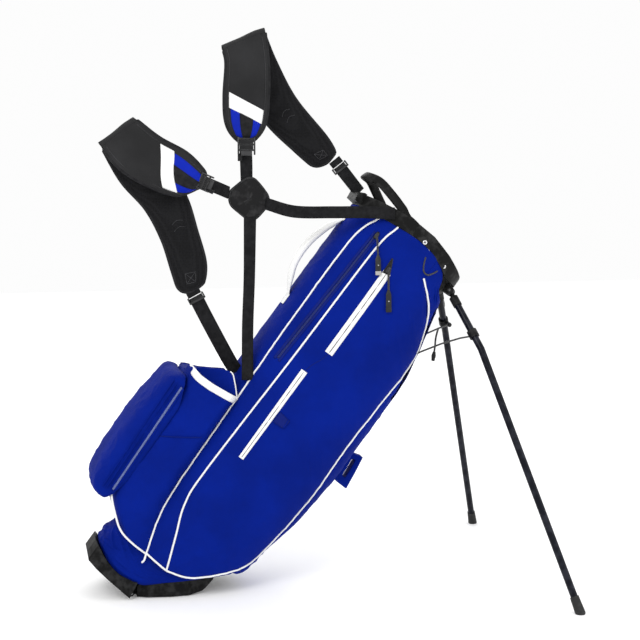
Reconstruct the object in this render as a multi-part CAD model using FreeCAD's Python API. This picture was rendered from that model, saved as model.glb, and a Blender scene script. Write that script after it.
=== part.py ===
"""Golf stand bag, standing on its foot plate and two swung-out legs.

Most parts are drawn in the bag's own frame, in millimetres: X is v, from the spine
towards the legs, Y is the width, and Z is u, up the bag's axis.  place() then leans
the bag forward and sets the foot plate's sole on the ground at the origin.
Straps, the foot plate and the leg ends are drawn straight in the standing frame.
"""
import FreeCAD, Part
import math
import os

# ---- driving dimensions (mm, degrees) ----
LEAN = 37.0            # the bag's axis leans forward from the vertical
FOOT_SHIFT = -40.0     # moves the foot plate's sole centre onto the origin
SPINE_V = -122.0       # outer face of the spine panel
SECTION_POWER = 2.8    # how square the body's section is
PANEL_FRONT = 8.0      # thickness of the spine and front panels
POCKET_DEPTH = 22.0    # depth of the pockets along the sides
TRIM = 2.0             # thickness of tapes and tabs sewn on the surface
COLLAR_WALL = 7.0
LEG_TUBE_R = 7.5
LEG_TUBE_WALL = 1.2
ROD_R = 2.0
CROSS_BAR_R = 1.5      # bar that ties the two push rods together
PIN_R = 3.0
RUNNING_GAP = 0.05
PAD_THICK = 12.0
WEB_THICK = 2.4
PIPING_R = 2.2

# height up the bag, front face, half-width: the outer body's sections
BODY = [(40, 118, 98), (100, 140, 108), (200, 160, 114), (320, 176, 118), (450, 185, 118),
        (640, 185, 118), (730, 174, 117), (800, 158, 114), (850, 146, 111), (880, 138, 109),
        (960, 138, 104)]
# the body's lower edge and upper edge on its sides, as (v, u)
LOWER_EDGE = [(-130, 84), (-68, 76), (-12, 70), (29, 81), (66, 106), (118, 156), (141, 224), (170, 310)]
UPPER_EDGE = [(-130, 917), (-84, 921), (-40, 926), (3, 929), (41, 926), (85, 911), (100, 897), (112, 872),
              (135, 860), (170, 852)]
# seams down the right side, as (v, u); the left side has the same
REAR_SEAM = [(-84, 919), (-103, 850), (-105, 640), (-101, 430), (-97, 236), (-88, 150), (-66, 74)]
MID_SEAM = [(-44, 924), (-57, 851), (-63, 567), (-70, 287), (-64, 205), (-40, 140), (-12, 70)]
FRONT_SEAM = [(65, 871), (117, 830), (147, 780), (164, 726), (156, 620), (150, 491), (154, 376), (150, 300),
              (141, 224), (134, 187), (118, 156), (66, 106), (29, 81), (-12, 70)]

LEG_PIVOT = (145.0, 46.0, 891.0)      # v, y, u of the left leg's pin
LEG_BEND = (656.0, 132.0, 510.0)      # standing frame
LEG_TIP = (799.0, 360.0, 0.0)         # standing frame
HEAD_R = 8.5                          # boss that turns on the hinge pin
HEAD_WIDTH = 9.6
SLEEVE_R = 9.5                        # moulded sleeve that holds the tube below the boss
SLEEVE_START = 17.0                   # from the pin
SLEEVE_LENGTH = 22.0
TUBE_START = 24.0                     # from the pin to the top of the tube's socket
SOCKET_GAP = 0.05                     # round a tube inside its moulded parts
LEG_FOOT_LENGTH = 34.0
CLIP_PLACE = 0.746                    # along the upper run, from the pin to the bend
CLIP_R = 10.8
CLIP_LENGTH = 17.0
CLIP_EAR_R = 5.0
STUD_START = 16.0                     # from the tube's middle to where the clip's stud starts
STUD_LENGTH = 7.0
STUD_R = 2.2
KNOB_R = 4.4
KNOB_THICK = 2.2
LINK_EYE_R = 5.2
LINK_EYE_THICK = 3.6
CLEVIS_R = 9.5                        # ears on each side of a leg's boss
CLEVIS_INSIDE = 5.3                   # from the boss's middle to an ear
CLEVIS_OUTSIDE = 11.5
CLEVIS_BACK = 16.0                    # from the pin back into the housing
FOOT_PIN = (-78.0, 8.0)               # x, z of the foot plate's pin
LINK_SLOT = (44.0, 78.0, 620.0, 900.0)  # y0, y1, u0, u1 of the slot that each leg's link works in
YOKE = (150.0, 52.0, 718.0)           # v, y, u of a push rod's top end
LINK_END = (150.0, 60.0, 718.0)       # v, y, u of a link's low end, one rod's gap beside the push rod

V = FreeCAD.Vector


def tilt():
    turn = FreeCAD.Placement(V(0, 0, 0), FreeCAD.Rotation(V(0, 1, 0), LEAN))
    return FreeCAD.Placement(V(FOOT_SHIFT, 0, 0), FreeCAD.Rotation()) * turn


TILT = tilt()


def place(shape):
    """Move a shape from the bag's frame to the standing frame."""
    moved = shape.copy()
    moved.Placement = TILT * moved.Placement
    return moved


def to_world(v, y, u):
    return TILT.multVec(V(v, y, u))


def mirrored(shape):
    return shape.mirror(V(0, 0, 0), V(0, 1, 0))


# ---- shape helpers ----
def polygon(points):
    return Part.Face(Part.makePolygon(points + [points[0]]))


def side_prism(outline, y0, y1):
    """Outline in (v, u), or (x, z), pushed along the width."""
    face = polygon([V(a, y0, b) for a, b in outline])
    return face.extrude(V(0, y1 - y0, 0))


def plan_prism(outline, z0, z1):
    face = polygon([V(a, b, z0) for a, b in outline])
    return face.extrude(V(0, 0, z1 - z0))


def ring_wire(u, back, front, half, power=SECTION_POWER, count=28):
    """Closed smooth section: a rounded box, back to front and half-width to each side."""
    middle, reach = (back + front) / 2.0, (front - back) / 2.0
    points = []
    for k in range(count):
        a = 2 * math.pi * k / count
        c, s = math.cos(a), math.sin(a)
        x = math.copysign(abs(c) ** (2 / power), c)
        y = math.copysign(abs(s) ** (2 / power), s)
        points.append(V(middle + reach * x, half * y, u))
    curve = Part.BSplineCurve()
    curve.interpolate(Points=points, PeriodicFlag=True)
    return Part.Wire([curve.toShape()])


def body_loft(shrink_ends=0.0, shrink_sides=0.0):
    wires = [ring_wire(u, SPINE_V + shrink_ends, front - shrink_ends, half - shrink_sides)
             for u, front, half in BODY]
    return Part.makeLoft(wires, True, False)


def body_y(v, u, grow=0.0):
    """Half-width of the outer body at v, u."""
    for (u0, f0, h0), (u1, f1, h1) in zip(BODY, BODY[1:]):
        if u <= u1:
            break
    t = max(0.0, min(1.0, (u - u0) / (u1 - u0)))
    front, half = f0 + t * (f1 - f0) + grow, h0 + t * (h1 - h0) + grow
    back = SPINE_V - grow
    reach = (front - back) / 2.0
    ratio = min(0.999, abs((v - back - reach) / reach))
    return half * (1 - ratio ** SECTION_POWER) ** (1 / SECTION_POWER)


def tube(points, radius, wall=0.0):
    """Round bar or tube along straight runs, its corners filled with balls."""
    solids = []
    for a, b in zip(points, points[1:]):
        solids.append(Part.makeCylinder(radius, (b - a).Length, a, b - a))
    for p in points[1:-1]:
        solids.append(Part.makeSphere(radius, p))
    bar = solids[0].multiFuse(solids[1:]) if len(solids) > 1 else solids[0]
    if wall > 0.0:
        bar = bar.cut(tube(points, radius - wall))
    return bar.removeSplitter()


def band(stations, thick):
    """Flat strap or pad: each station is its two edge points; thickness is added both sides."""
    middles = [(a + b) * 0.5 for a, b in stations]
    wires = []
    for k, (a, b) in enumerate(stations):
        ahead = middles[min(k + 1, len(middles) - 1)] - middles[max(k - 1, 0)]
        normal = (b - a).cross(ahead).normalize() * (thick / 2.0)
        wires.append(Part.makePolygon([a + normal, b + normal, b - normal, a - normal, a + normal]))
    return Part.makeLoft(wires, True, True)


def largest(shape):
    return max(shape.Solids, key=lambda solid: solid.Volume)


NODES = {}


def keep(name, shape):
    NODES[name] = shape


# ---- the body ----
OUTER = body_loft()
INNER = body_loft(PANEL_FRONT, POCKET_DEPTH)
TRIM_OUT = body_loft(-TRIM, -TRIM)


def body_skin():
    """The bag's fabric wall with its pockets, as one ring, trimmed below and above."""
    skin = OUTER.cut(INNER)
    below = [(-200, -50), (-200, LOWER_EDGE[0][1])] + LOWER_EDGE + [(400, 310), (400, -50)]
    above = [(-200, 1200), (-200, UPPER_EDGE[0][1])] + UPPER_EDGE + [(400, 852), (400, 1200)]
    skin = skin.cut(side_prism(below, -300, 300))
    for side in (-1, 1):
        y0, y1, u0, u1 = LINK_SLOT
        slot = Part.makeBox(100, y1 - y0, u1 - u0, V(110, y0 if side > 0 else -y1, u0))
        skin = skin.cut(slot)
    return skin.cut(side_prism(above, -300, 300))


def split_skin():
    """Six panels round the body, cut along the seams."""
    skin = SKIN
    rear = [(-300, 1000), (-84, 1000)] + REAR_SEAM + [(-66, 0), (-300, 0)]
    apparel = [(-84, 1000)] + REAR_SEAM + [(-66, 0), (-12, 0)] + MID_SEAM[::-1] + [(-44, 1000)]
    side = [(-44, 1000)] + MID_SEAM + FRONT_SEAM[:-1][::-1] + [(65, 1000)]
    right = (-300, -20)
    left = (20, 300)
    keep("spine_panel", skin.common(side_prism(rear, -300, 300)))
    keep("apparel_pocket_right", skin.common(side_prism(apparel, *right)))
    keep("apparel_pocket_left", skin.common(side_prism(apparel, *left)))
    keep("side_pocket_right", largest(skin.common(side_prism(side, *right))))
    keep("side_pocket_left", largest(skin.common(side_prism(side, *left))))
    front = skin.cut(side_prism(rear, -300, 300))
    for outline in (apparel, side):
        for span in (right, left):
            front = front.cut(side_prism(outline, *span))
    keep("front_panel", front)


def trim_piece(outline, side=-1):
    """A thin tape or tab on the side wall, over its outline in (v, u)."""
    span = (-300, -20) if side < 0 else (20, 300)
    return TRIM_OUT.cut(OUTER).common(side_prism(outline, *span))


def strip(v0, u0, v1, u1, width):
    """Outline of a straight strip between two points in (v, u)."""
    dv, du = v1 - v0, u1 - u0
    length = math.hypot(dv, du)
    nv, nu = -du / length * width / 2.0, dv / length * width / 2.0
    return [(v0 + nv, u0 + nu), (v1 + nv, u1 + nu), (v1 - nv, u1 - nu), (v0 - nv, u0 - nu)]


def zips():
    upper = strip(-9, 630, -9, 835, 18)
    lower = strip(-28, 350, -28, 570, 13)
    coil = strip(-71, 885, -84, 560, 8)
    keep("zips_right", Part.makeCompound([trim_piece(o) for o in (upper, lower, coil)]))
    keep("zips_left", Part.makeCompound([trim_piece(o, 1) for o in (upper, coil)]))


def fabric_tabs():
    """Small tab on the side, and a slotted tab on the front that ties the folded legs."""
    small = trim_piece([(-17, 473), (6, 470), (8, 448), (-17, 450)])
    outline = [(184, 490), (197, 488), (218, 493), (229, 416), (201, 417), (181, 420)]
    tab = side_prism(outline, -14, 14).cut(OUTER)
    slot = side_prism([(200, 478), (208, 479), (212, 434), (204, 433)], -30, 30)
    keep("fabric_tabs", Part.makeCompound([small, tab.cut(slot)]))


def piping():
    """White cords along the seams, both sides."""
    solids = []
    for seam in (REAR_SEAM, MID_SEAM, FRONT_SEAM):
        points = [V(v, -body_y(v, u) - PIPING_R - TRIM, u) for v, u in seam]
        run = tube(points, PIPING_R)
        solids.append(run)
        solids.append(mirrored(run))
    return solids


def keep_piping():
    runs = piping()
    keep("piping_right", Part.makeCompound(runs[0::2]))
    keep("piping_left", Part.makeCompound(runs[1::2]))


# ---- collar, handles, dividers ----
COLLAR_SIDE = [(-132, 918), (-84, 922.5), (-40, 927.5), (3, 930.5), (41, 927.5), (85, 912.5),
               (104, 902), (160, 902), (160, 913), (140, 925), (113, 934), (82, 944), (31, 956),
               (-29, 958), (-60, 955), (-132, 944)]
COLLAR_RINGS = [(860, 150, 109), (960, 148, 104), (1000, 148, 102)]   # u, front, half-width


def collar_loft(inset):
    stand = 3 - inset
    wires = [ring_wire(u, SPINE_V - stand, front + stand, half + stand) for u, front, half in COLLAR_RINGS]
    return Part.makeLoft(wires, True, False)


def collar():
    """Moulded ring that holds the bag's mouth open, with the harness lug at the spine."""
    ring = collar_loft(0).cut(collar_loft(COLLAR_WALL)).common(side_prism(COLLAR_SIDE, -200, 200))
    lug = side_prism([(-120, 922), (-138, 924), (-140, 940), (-128, 948), (-120, 948)], -34, 44)
    lug = lug.cut(collar_loft(1.0))
    return ring.cut(SKIN).fuse(lug).removeSplitter()


LATERAL_V = 8.0
DIVIDER_SIDE = [(-116, 919), (8, 922), (60, 920), (100, 906), (112, 903), (146, 903), (146, 909),
                (100, 921), (60, 934), (8, 936), (-116, 934)]
DIVIDER_LOW = 150.0


def dividers():
    """Cross bars in the collar, and full-length fabric walls hanging from them."""
    lengthwise = side_prism(DIVIDER_SIDE, -4.5, 4.5)
    lateral = Part.makeBox(9, 240, 14, V(LATERAL_V - 4.5, -120, 922))
    cross = lateral.fuse(lengthwise).common(collar_loft(COLLAR_WALL + 0.3)).cut(SKIN)
    keep("collar_divider", cross.removeSplitter())
    across = Part.makeBox(2, 180, 921.5 - DIVIDER_LOW, V(LATERAL_V - 1, -90, DIVIDER_LOW)).cut(SKIN)
    keep("divider_lateral", largest(across))
    near, far = LATERAL_V - 1.5, LATERAL_V + 1.5
    behind = side_prism([(-112, DIVIDER_LOW), (-112, 918.5), (near, 921.5), (near, DIVIDER_LOW)], -1, 1)
    ahead = side_prism([(far, 210), (far, 921.5), (60, 919), (110, 901), (112, 871), (118, 840),
                        (132, 300), (100, 210)], -1, 1)
    keep("divider_lengthwise", Part.makeCompound([behind.cut(SKIN), ahead.cut(SKIN)]))


def stays():
    """Springy rods that hold the collar off the base, one in each rear corner."""
    rods = []
    for y in (-62, 62):
        rods.append(tube([V(-80, y * 0.86, 100), V(-84, y, 300), V(-84, y, 905)], 3.5))
    keep("body_stays", Part.makeCompound(rods))


def lift_handle():
    """Moulded hoop that rises from both sides of the collar and leans back over the spine."""
    half = [(-30, -95, 954, 14), (-54, -89, 962, 16), (-86, -70, 973, 24), (-118, -44, 984, 24),
            (-142, -18, 982, 22)]
    hoop_run = half + [(v, -y, u, wide) for v, y, u, wide in half[::-1]]
    lean = V(0.35, 0, 0.94)
    stations = [(V(v, y, u) - lean * (wide / 2), V(v, y, u) + lean * (wide / 2)) for v, y, u, wide in hoop_run]
    foot = side_prism([(-52, 942), (-14, 942), (-16, 956), (-30, 963), (-50, 962)], -101, -91)
    hoop = band(stations, 10.0).fuse([foot, mirrored(foot)])
    keep("lift_handle", hoop.cut(COLLAR).removeSplitter())


def carry_handle():
    """Padded strap down the spine, bowed out for a hand."""
    outer = [(-125, 884), (-155, 840), (-167, 791), (-163, 741), (-142, 697), (-125, 676)]
    inner = [(-125, 866), (-141, 834), (-151, 788), (-148, 739), (-130, 697), (-125, 692)]
    handle = side_prism(outer + inner[::-1], -15, 15)
    keep("carry_handle", handle.cut(OUTER))


def collar_rivets():
    heads = []
    for side in (-1, 1):
        for v, u in ((20, 934), (86, 919)):
            y = side * (body_y(v, u) + 3.4)
            heads.append(Part.makeCylinder(5.0, 2.2, V(v, y, u), V(0, side, 0)))
            heads[-1] = heads[-1].cut(COLLAR)
    keep("collar_rivets", Part.makeCompound(heads))


# ---- pockets on the spine ----
REAR_BACK_V = -216.0
BOTTLE_RIM = [(-240, 452), (-222, 447), (-190, 438.5), (-149, 440), (-109, 444.5), (-90, 446)]
BOTTLE_RIM_LOW = [(-90, 436), (-104, 437), (-147, 426.5), (-188, 423.5), (-217, 432), (-240, 437)]


def rear_plan(u, grow=0.0):
    """Rear pocket's outline at height u; its sides start at the rear seams and swell outwards."""
    for (v0, u0), (v1, u1) in zip(REAR_SEAM, REAR_SEAM[1:]):
        if u >= u1:
            break
    root = v1 + (v0 - v1) * max(0.0, min(1.0, (u - u1) / (u0 - u1)))
    side = body_y(root, u)
    half = [(-60, 60 + grow), (root, side - 2 + grow), (root - 9, side + 9 + grow), (-132, 103 + grow),
            (-185, 100 + grow), (-207 - grow, 86 + grow), (REAR_BACK_V - grow, 62)]
    return [(v, -y) for v, y in half] + [(v, y) for v, y in half[::-1]]


def rear_block():
    wires = []
    for u in (60, 150, 236, 500):
        points = [V(v, y, u) for v, y in rear_plan(u)]
        wires.append(Part.makePolygon(points + [points[0]]))
    side = [(-50, 72), (-66, 74), (-98, 77), (-127, 82), (-160, 101), (-203, 139), (-218, 160), (-218, 490),
            (-50, 490)]
    return Part.makeLoft(wires, True, True).common(side_prism(side, -120, 120)).cut(OUTER)


def rear_pockets():
    block = rear_block()
    near = side_prism([(-240, 232), (-50, 232), (-50, 520), (-240, 520)], -120, -8)
    above_rim = BOTTLE_RIM + [(-50, 446), (-50, 520), (-240, 520)]
    well = [(-130, -97), (-182, -93), (-201, -80), (-208, -58), (-208, -14), (-130, -14)]
    sleeve = block.common(near).cut([side_prism(above_rim, -130, -8), plan_prism(well, 236, 520)])
    keep("bottle_pocket", sleeve)
    lid = [(-240, 416), (-218, 424), (-173, 441), (-142, 459), (-122, 470), (-110, 462), (-98, 450), (-50, 450),
           (-50, 520), (-240, 520)]
    keep("rear_pocket", block.cut([near, side_prism(lid, -120, 120)]).removeSplitter())
    rim = side_prism(BOTTLE_RIM + BOTTLE_RIM_LOW, -120, -8)
    band_out = plan_prism(rear_plan(430, TRIM), 400, 470)
    band_in = plan_prism(rear_plan(430), 400, 470)
    keep("bottle_pocket_band", largest(band_out.common(rim).cut(band_in).cut(OUTER).cut(block)))


def ball_pocket():
    """Stuffed pocket that wraps the rear pocket's corners, with a zip along its right side."""
    outline = [(-196, 140), (-205, 128), (-228, 122), (-243, 134), (-252, 165), (-257, 223), (-258, 284),
               (-256, 330), (-252, 370), (-250, 392), (-244, 409), (-232, 418), (-219, 421), (-206, 395),
               (-192, 352), (-190, 178)]
    half = [(-186, 99.5), (-215, 99), (-238, 94), (-252, 82), (-262, 58)]
    plan = [(v, -y) for v, y in half] + [(v, y) for v, y in half[::-1]]
    pouch = side_prism(outline, -100, 100).common(plan_prism(plan, 100, 460)).cut(rear_block())
    keep("ball_pocket", largest(pouch))
    coil = side_prism([(-215, 392), (-209, 392), (-200, 150), (-206, 150)], -102, -97)
    keep("ball_pocket_zip", coil.cut(NODES["ball_pocket"]))


# ---- base ----
def base_plan(grow=0.0):
    half = [(-156 - grow, 30), (-150 - grow, 58 + grow), (-128, 80 + grow), (-95, 89 + grow),
            (-20, 90 + grow)]
    return [(v, -y) for v, y in half] + half[::-1]


REAR_BASE = [(-36.5, -22.5), (-148, -9), (-156, 0), (-158, 30), (-146, 26), (-120, 14), (-85, 6),
             (-50, 10), (-42, 13)]


def foot_pin_line():
    """The pin's centre in the bag's frame."""
    x, z = FOOT_PIN[0] - FOOT_SHIFT, FOOT_PIN[1]
    a = math.radians(LEAN)
    return x * math.cos(a) - z * math.sin(a), x * math.sin(a) + z * math.cos(a)


def base_rear():
    pv, pu = foot_pin_line()
    block = side_prism(REAR_BASE, -120, 120).common(plan_prism(base_plan(), -60, 60))
    hollow = side_prism([(-39, -17), (-144, -4), (-151, 60), (-20, 60)], -120, 120)
    hollow = hollow.common(plan_prism(base_plan(-5.0), -60, 60))
    shell = block.cut(hollow)
    shell = shell.cut(Part.makeCylinder(8.0, 106, V(pv, -53, pu), V(0, 1, 0)))
    for y in (-70, 55):
        lug = Part.makeCylinder(6.0, 15, V(pv, y, pu), V(0, 1, 0))
        web = Part.makeBox(12, 15, 7, V(pv - 13, y, pu - 4))
        shell = shell.fuse(lug.fuse(web))
    shell = shell.cut(Part.makeCylinder(PIN_R, 160, V(pv, -80, pu), V(0, 1, 0)))
    keep("base_rear", place(shell.removeSplitter()))
    keep("foot_hinge_pin", place(Part.makeCylinder(PIN_R, 140, V(pv, -70, pu), V(0, 1, 0))))


FOOT_SIDE = [(-79, 1.5), (44, 1.5), (70, 6), (95, 22), (112, 41), (100, 41), (72, 37), (45, 34), (0, 31),
             (-30, 30), (-58, 30), (-63, 26)]


def foot_plan(inset=0.0):
    i = inset
    half = [(-84 + i, 45), (-74 + i, 66 - i), (-45, 80 - i), (6, 86 - i), (42, 83 - i), (78, 70 - i),
            (102 - i, 46 - i), (112 - i, 18)]
    return [(x, -y) for x, y in half] + half[::-1]


def foot_tray():
    px, pz = FOOT_PIN
    block = side_prism(FOOT_SIDE, -120, 120).common(plan_prism(foot_plan(), -5, 60))
    hollow = side_prism([(-60, 6), (42, 6), (66, 10), (90, 25), (112, 50), (-60, 50)], -120, 120)
    hollow = hollow.common(plan_prism(foot_plan(4.5), 0, 60))
    tray = block.cut(hollow)
    for y in (-72.5, 53):
        tray = tray.cut(Part.makeBox(22, 19.5, 22, V(px - 10, y, pz - 9)))
    tray = tray.cut(Part.makeCylinder(6.8, 106, V(px, -53, pz), V(0, 1, 0)))
    tray = tray.fuse(Part.makeCylinder(6.0, 104, V(px, -52, pz), V(0, 1, 0)))
    tray = tray.fuse(Part.makeBox(14, 104, 4.5, V(px + 3, -52, 1.5)))
    tray = tray.cut(Part.makeCylinder(PIN_R + RUNNING_GAP, 180, V(px, -90, pz), V(0, 1, 0)))
    keep("foot_tray", tray.removeSplitter())


def foot_pads():
    """Rubber pads under the foot plate: a wide one in front and two small ones behind."""
    front = plan_prism([(-6, -70), (38, -66), (38, 66), (-6, 70)], 0, 1.5)
    rear = [plan_prism([(-66, y), (-56, y), (-56, y + 16), (-66, y + 16)], 0, 1.5) for y in (-66, 50)]
    keep("foot_pads", Part.makeCompound([front] + rear))


def skirt():
    """Soft cuff between the body's lower edge and the base, which folds as the foot closes."""
    sections = [(-30, -150, 40, 86), (20, -150, 70, 87), (70, -142, 112, 92), (130, -126, 142, 98),
                (230, SPINE_V + 2, 160, 106), (330, SPINE_V + 2, 172, 110)]
    outer = Part.makeLoft([ring_wire(u, b, f, h) for u, b, f, h in sections], True, False)
    inner = Part.makeLoft([ring_wire(u, b + 4, f - 4, h - 4) for u, b, f, h in sections], True, False)
    low = [(-170, 40), (-158, 31), (-146, 27), (-120, 15.5), (-85, 7.5), (-50, 11.5), (-41, 14.5),
           (-36, 12.5), (12, 49), (47, 80), (68, 100), (97, 128), (112, 138)]
    high = [(v, u - 0.3) for v, u in LOWER_EDGE]
    region = low + [(160, 200), (170, 309)] + high[::-1][1:] + [(-170, 84)]
    cuff = outer.cut(inner).common(side_prism(region, -150, 150))
    keep("skirt", place(cuff).cut(NODES["rear_pocket"]))


# ---- legs ----
def unit(a):
    return V(a).normalize()


def leg_frame(side):
    """Pin, bend, tip and swing axis of one leg in the standing frame; side is -1 right, 1 left."""
    pin = to_world(LEG_PIVOT[0], side * LEG_PIVOT[1], LEG_PIVOT[2])
    bend = V(LEG_BEND[0], side * LEG_BEND[1], LEG_BEND[2])
    tip = V(LEG_TIP[0], side * LEG_TIP[1], LEG_TIP[2])
    folded = to_world(0, 0, -1) - to_world(0, 0, 0)
    spread = unit(tip - pin)
    axis = unit(folded.cross(spread))
    return pin, bend, tip, axis


def legs(side, name):
    pin, bend, tip, axis = leg_frame(side)
    upper, lower = unit(bend - pin), unit(tip - bend)
    flat_upper = unit(upper - axis * upper.dot(axis))
    socket_r = LEG_TUBE_R + SOCKET_GAP
    boss = Part.makeCylinder(HEAD_R, HEAD_WIDTH, pin - axis * (HEAD_WIDTH / 2), axis)
    neck = Part.makeCylinder(5.2, 20, pin + flat_upper * 4, flat_upper)
    sleeve = Part.makeCylinder(SLEEVE_R, SLEEVE_LENGTH, pin + upper * SLEEVE_START, upper)
    head = boss.common(Part.makeSphere(HEAD_R + 0.9, pin)).fuse([neck, sleeve])
    head = head.cut(Part.makeCylinder(PIN_R + RUNNING_GAP, 30, pin - axis * 15, axis))
    head = head.cut(Part.makeCylinder(socket_r, 30, pin + upper * TUBE_START, upper))
    keep("leg_head_" + name, head.removeSplitter())
    end = tip - lower * (LEG_FOOT_LENGTH - 8)
    run = [pin + upper * (TUBE_START + 0.5), bend, end]
    keep("leg_tube_" + name, tube(run, LEG_TUBE_R, LEG_TUBE_WALL))
    sole = tip - lower * 2.0
    foot = Part.makeCone(10.5, 9.2, LEG_FOOT_LENGTH, sole, lower * -1)
    foot = foot.fuse(Part.makeSphere(10.4, sole))
    foot = foot.cut(Part.makeCylinder(socket_r, 40, end + lower * 0.2, lower * -1))
    foot = foot.cut(Part.makeBox(60, 60, 20, V(tip.x - 30, tip.y - 30, -20)))
    keep("leg_foot_" + name, foot)
    at, lug = clip_place(side)
    ring = Part.makeCylinder(CLIP_R, CLIP_LENGTH, at - upper * (CLIP_LENGTH / 2), upper)
    ear = Part.makeCylinder(CLIP_EAR_R, STUD_START, at, lug)
    stud = Part.makeCylinder(STUD_R, STUD_LENGTH, at + lug * (STUD_START - 1), lug)
    knob = Part.makeCylinder(KNOB_R, KNOB_THICK, at + lug * (STUD_START + STUD_LENGTH - 1.6), lug)
    clip = ring.multiFuse([ear, stud, knob])
    clip = clip.cut(Part.makeCylinder(socket_r, 60, at - upper * 30, upper))
    keep("leg_clip_" + name, clip.removeSplitter())


def clip_place(side):
    """Middle of a leg's clip, and the direction its link stud points."""
    pin, bend, tip, axis = leg_frame(side)
    lug = axis * (1 if axis.y * side < 0 else -1)
    return pin + (bend - pin) * CLIP_PLACE, lug


def leg_hinge():
    """Clevis housing under the front of the collar, with a pin for each leg."""
    house = place(side_prism([(114, 872.5), (133, 872.5), (138, 884), (136, 901.5), (114, 901.5)], -64, 64))
    house = house.cut(place(SKIN))
    ears, pins = [], []
    for side in (-1, 1):
        pin, bend, tip, axis = leg_frame(side)
        down = to_world(0, 0, -1) - to_world(0, 0, 0)
        out = swing_out(side)
        house = house.cut(oriented_box(pin, out, axis, down, (-11, 60), (-30, 30), (-30, 60)))
        tall = (-CLEVIS_R, CLEVIS_R)
        for a, b in ((-CLEVIS_OUTSIDE, -CLEVIS_INSIDE), (CLEVIS_INSIDE, CLEVIS_OUTSIDE)):
            ear = Part.makeCylinder(CLEVIS_R, b - a, pin + axis * a, axis)
            ears.append(ear.fuse(oriented_box(pin, out, axis, down, (-CLEVIS_BACK, 0), (a, b), tall)))
        ears.append(oriented_box(pin, out, axis, down, (-CLEVIS_BACK, -HEAD_R - 2),
                                 (-CLEVIS_OUTSIDE, CLEVIS_OUTSIDE), tall))
        pins.append(Part.makeCylinder(PIN_R, 2 * CLEVIS_OUTSIDE, pin - axis * CLEVIS_OUTSIDE, axis))
    house = house.multiFuse(ears)
    for p in pins:
        house = house.cut(p)
    keep("leg_hinge_housing", house.removeSplitter())
    keep("leg_hinge_pins", Part.makeCompound(pins))


def swing_out(side):
    """Direction square to the bag's axis in which a leg swings out."""
    pin, bend, tip, axis = leg_frame(side)
    down = to_world(0, 0, -1) - to_world(0, 0, 0)
    out = unit(axis.cross(down))
    return out if out.dot(tip - pin) > 0 else out * -1


def oriented_box(origin, ex, ey, ez, rx, ry, rz):
    corner = origin + ex * rx[0] + ey * ry[0] + ez * rz[0]
    face = polygon([corner, corner + ex * (rx[1] - rx[0]),
                    corner + ex * (rx[1] - rx[0]) + ey * (ry[1] - ry[0]), corner + ey * (ry[1] - ry[0])])
    return face.extrude(ez * (rz[1] - rz[0]))


def rods_and_links():
    """Push rods inside the front corners, joined by a cross bar, and a bent link from each leg."""
    rods = []
    v, y, u = YOKE
    for side in (-1, 1):
        route = [V(v, side * y, u), V(v, side * y, 360), V(130, side * y, 250), V(98, side * y, 176)]
        rods.append(tube(route, ROD_R))
    cross = tube([V(v, -y, u - 30), V(v, y, u - 30)], CROSS_BAR_R)
    keep("actuator_rod", place(rods[0].fuse([rods[1], cross]).removeSplitter()))
    at, lug = clip_place(1)
    start = at + lug * (STUD_START + 3)
    end = to_world(*LINK_END)
    bow = to_world(0, -6, 8) - to_world(0, 0, 0)
    route = [start, start + (end - start) * 0.22 + bow * 0.75, start + (end - start) * 0.5 + bow,
             start + (end - start) * 0.78 + bow * 0.63, end]
    eye = Part.makeCylinder(LINK_EYE_R, LINK_EYE_THICK, start - lug * (LINK_EYE_THICK / 2), lug)
    bore = Part.makeCylinder(STUD_R + RUNNING_GAP, 30, start - lug * 15, lug)
    keep("leg_link_left", tube(route, ROD_R).fuse(eye).cut(bore).removeSplitter())
    keep("leg_link_right", mirrored(NODES["leg_link_left"]))


def arc_tube(points, radius):
    """Tube along straight runs joined by tangent arcs, each as large as its runs allow."""
    edges, start = [], points[0]
    for a, b, c in zip(points, points[1:], points[2:]):
        ahead, back = unit(c - b), unit(a - b)
        reach = 0.45 * min((a - b).Length, (c - b).Length)
        turn = math.pi - ahead.getAngle(back)
        enter, leave = b + back * reach, b + ahead * reach
        middle = b + unit(ahead + back) * (reach / math.tan(turn / 2) * (1 / math.cos(turn / 2) - 1))
        print("arc radius", round(reach / math.tan(turn / 2), 1))
        edges.append(Part.LineSegment(start, enter).toShape())
        edges.append(Part.Arc(enter, middle, leave).toShape())
        start = leave
    edges.append(Part.LineSegment(start, points[-1]).toShape())
    path = Part.Wire(edges)
    circle = Part.Wire([Part.makeCircle(radius, points[0], points[1] - points[0])])
    swept = path.makePipeShell([circle], True, True)
    plain = math.pi * radius ** 2 * path.Length
    print("tube volume over section x length", round(swept.Volume / plain, 4))
    return swept


# Routes of the free cords, in the standing frame
LEG_ELASTIC = [(622, 63, 606), (630, 70, 597), (638, 82, 583), (641, 93, 571), (640, 99, 561)]
LEG_TIE_CORD = [(633, 110, 524), (628, 108, 510), (625, 106, 497), (624, 104.5, 484), (622, 104, 471)]
LEG_ELASTIC_R = 1.4
LEG_TIE_R = 2.2
COLLAR_LOOP = [(40, 910.5), (46, 893), (58, 881), (72, 885), (80, 903)]
COLLAR_LOOP_R = 1.6


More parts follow.
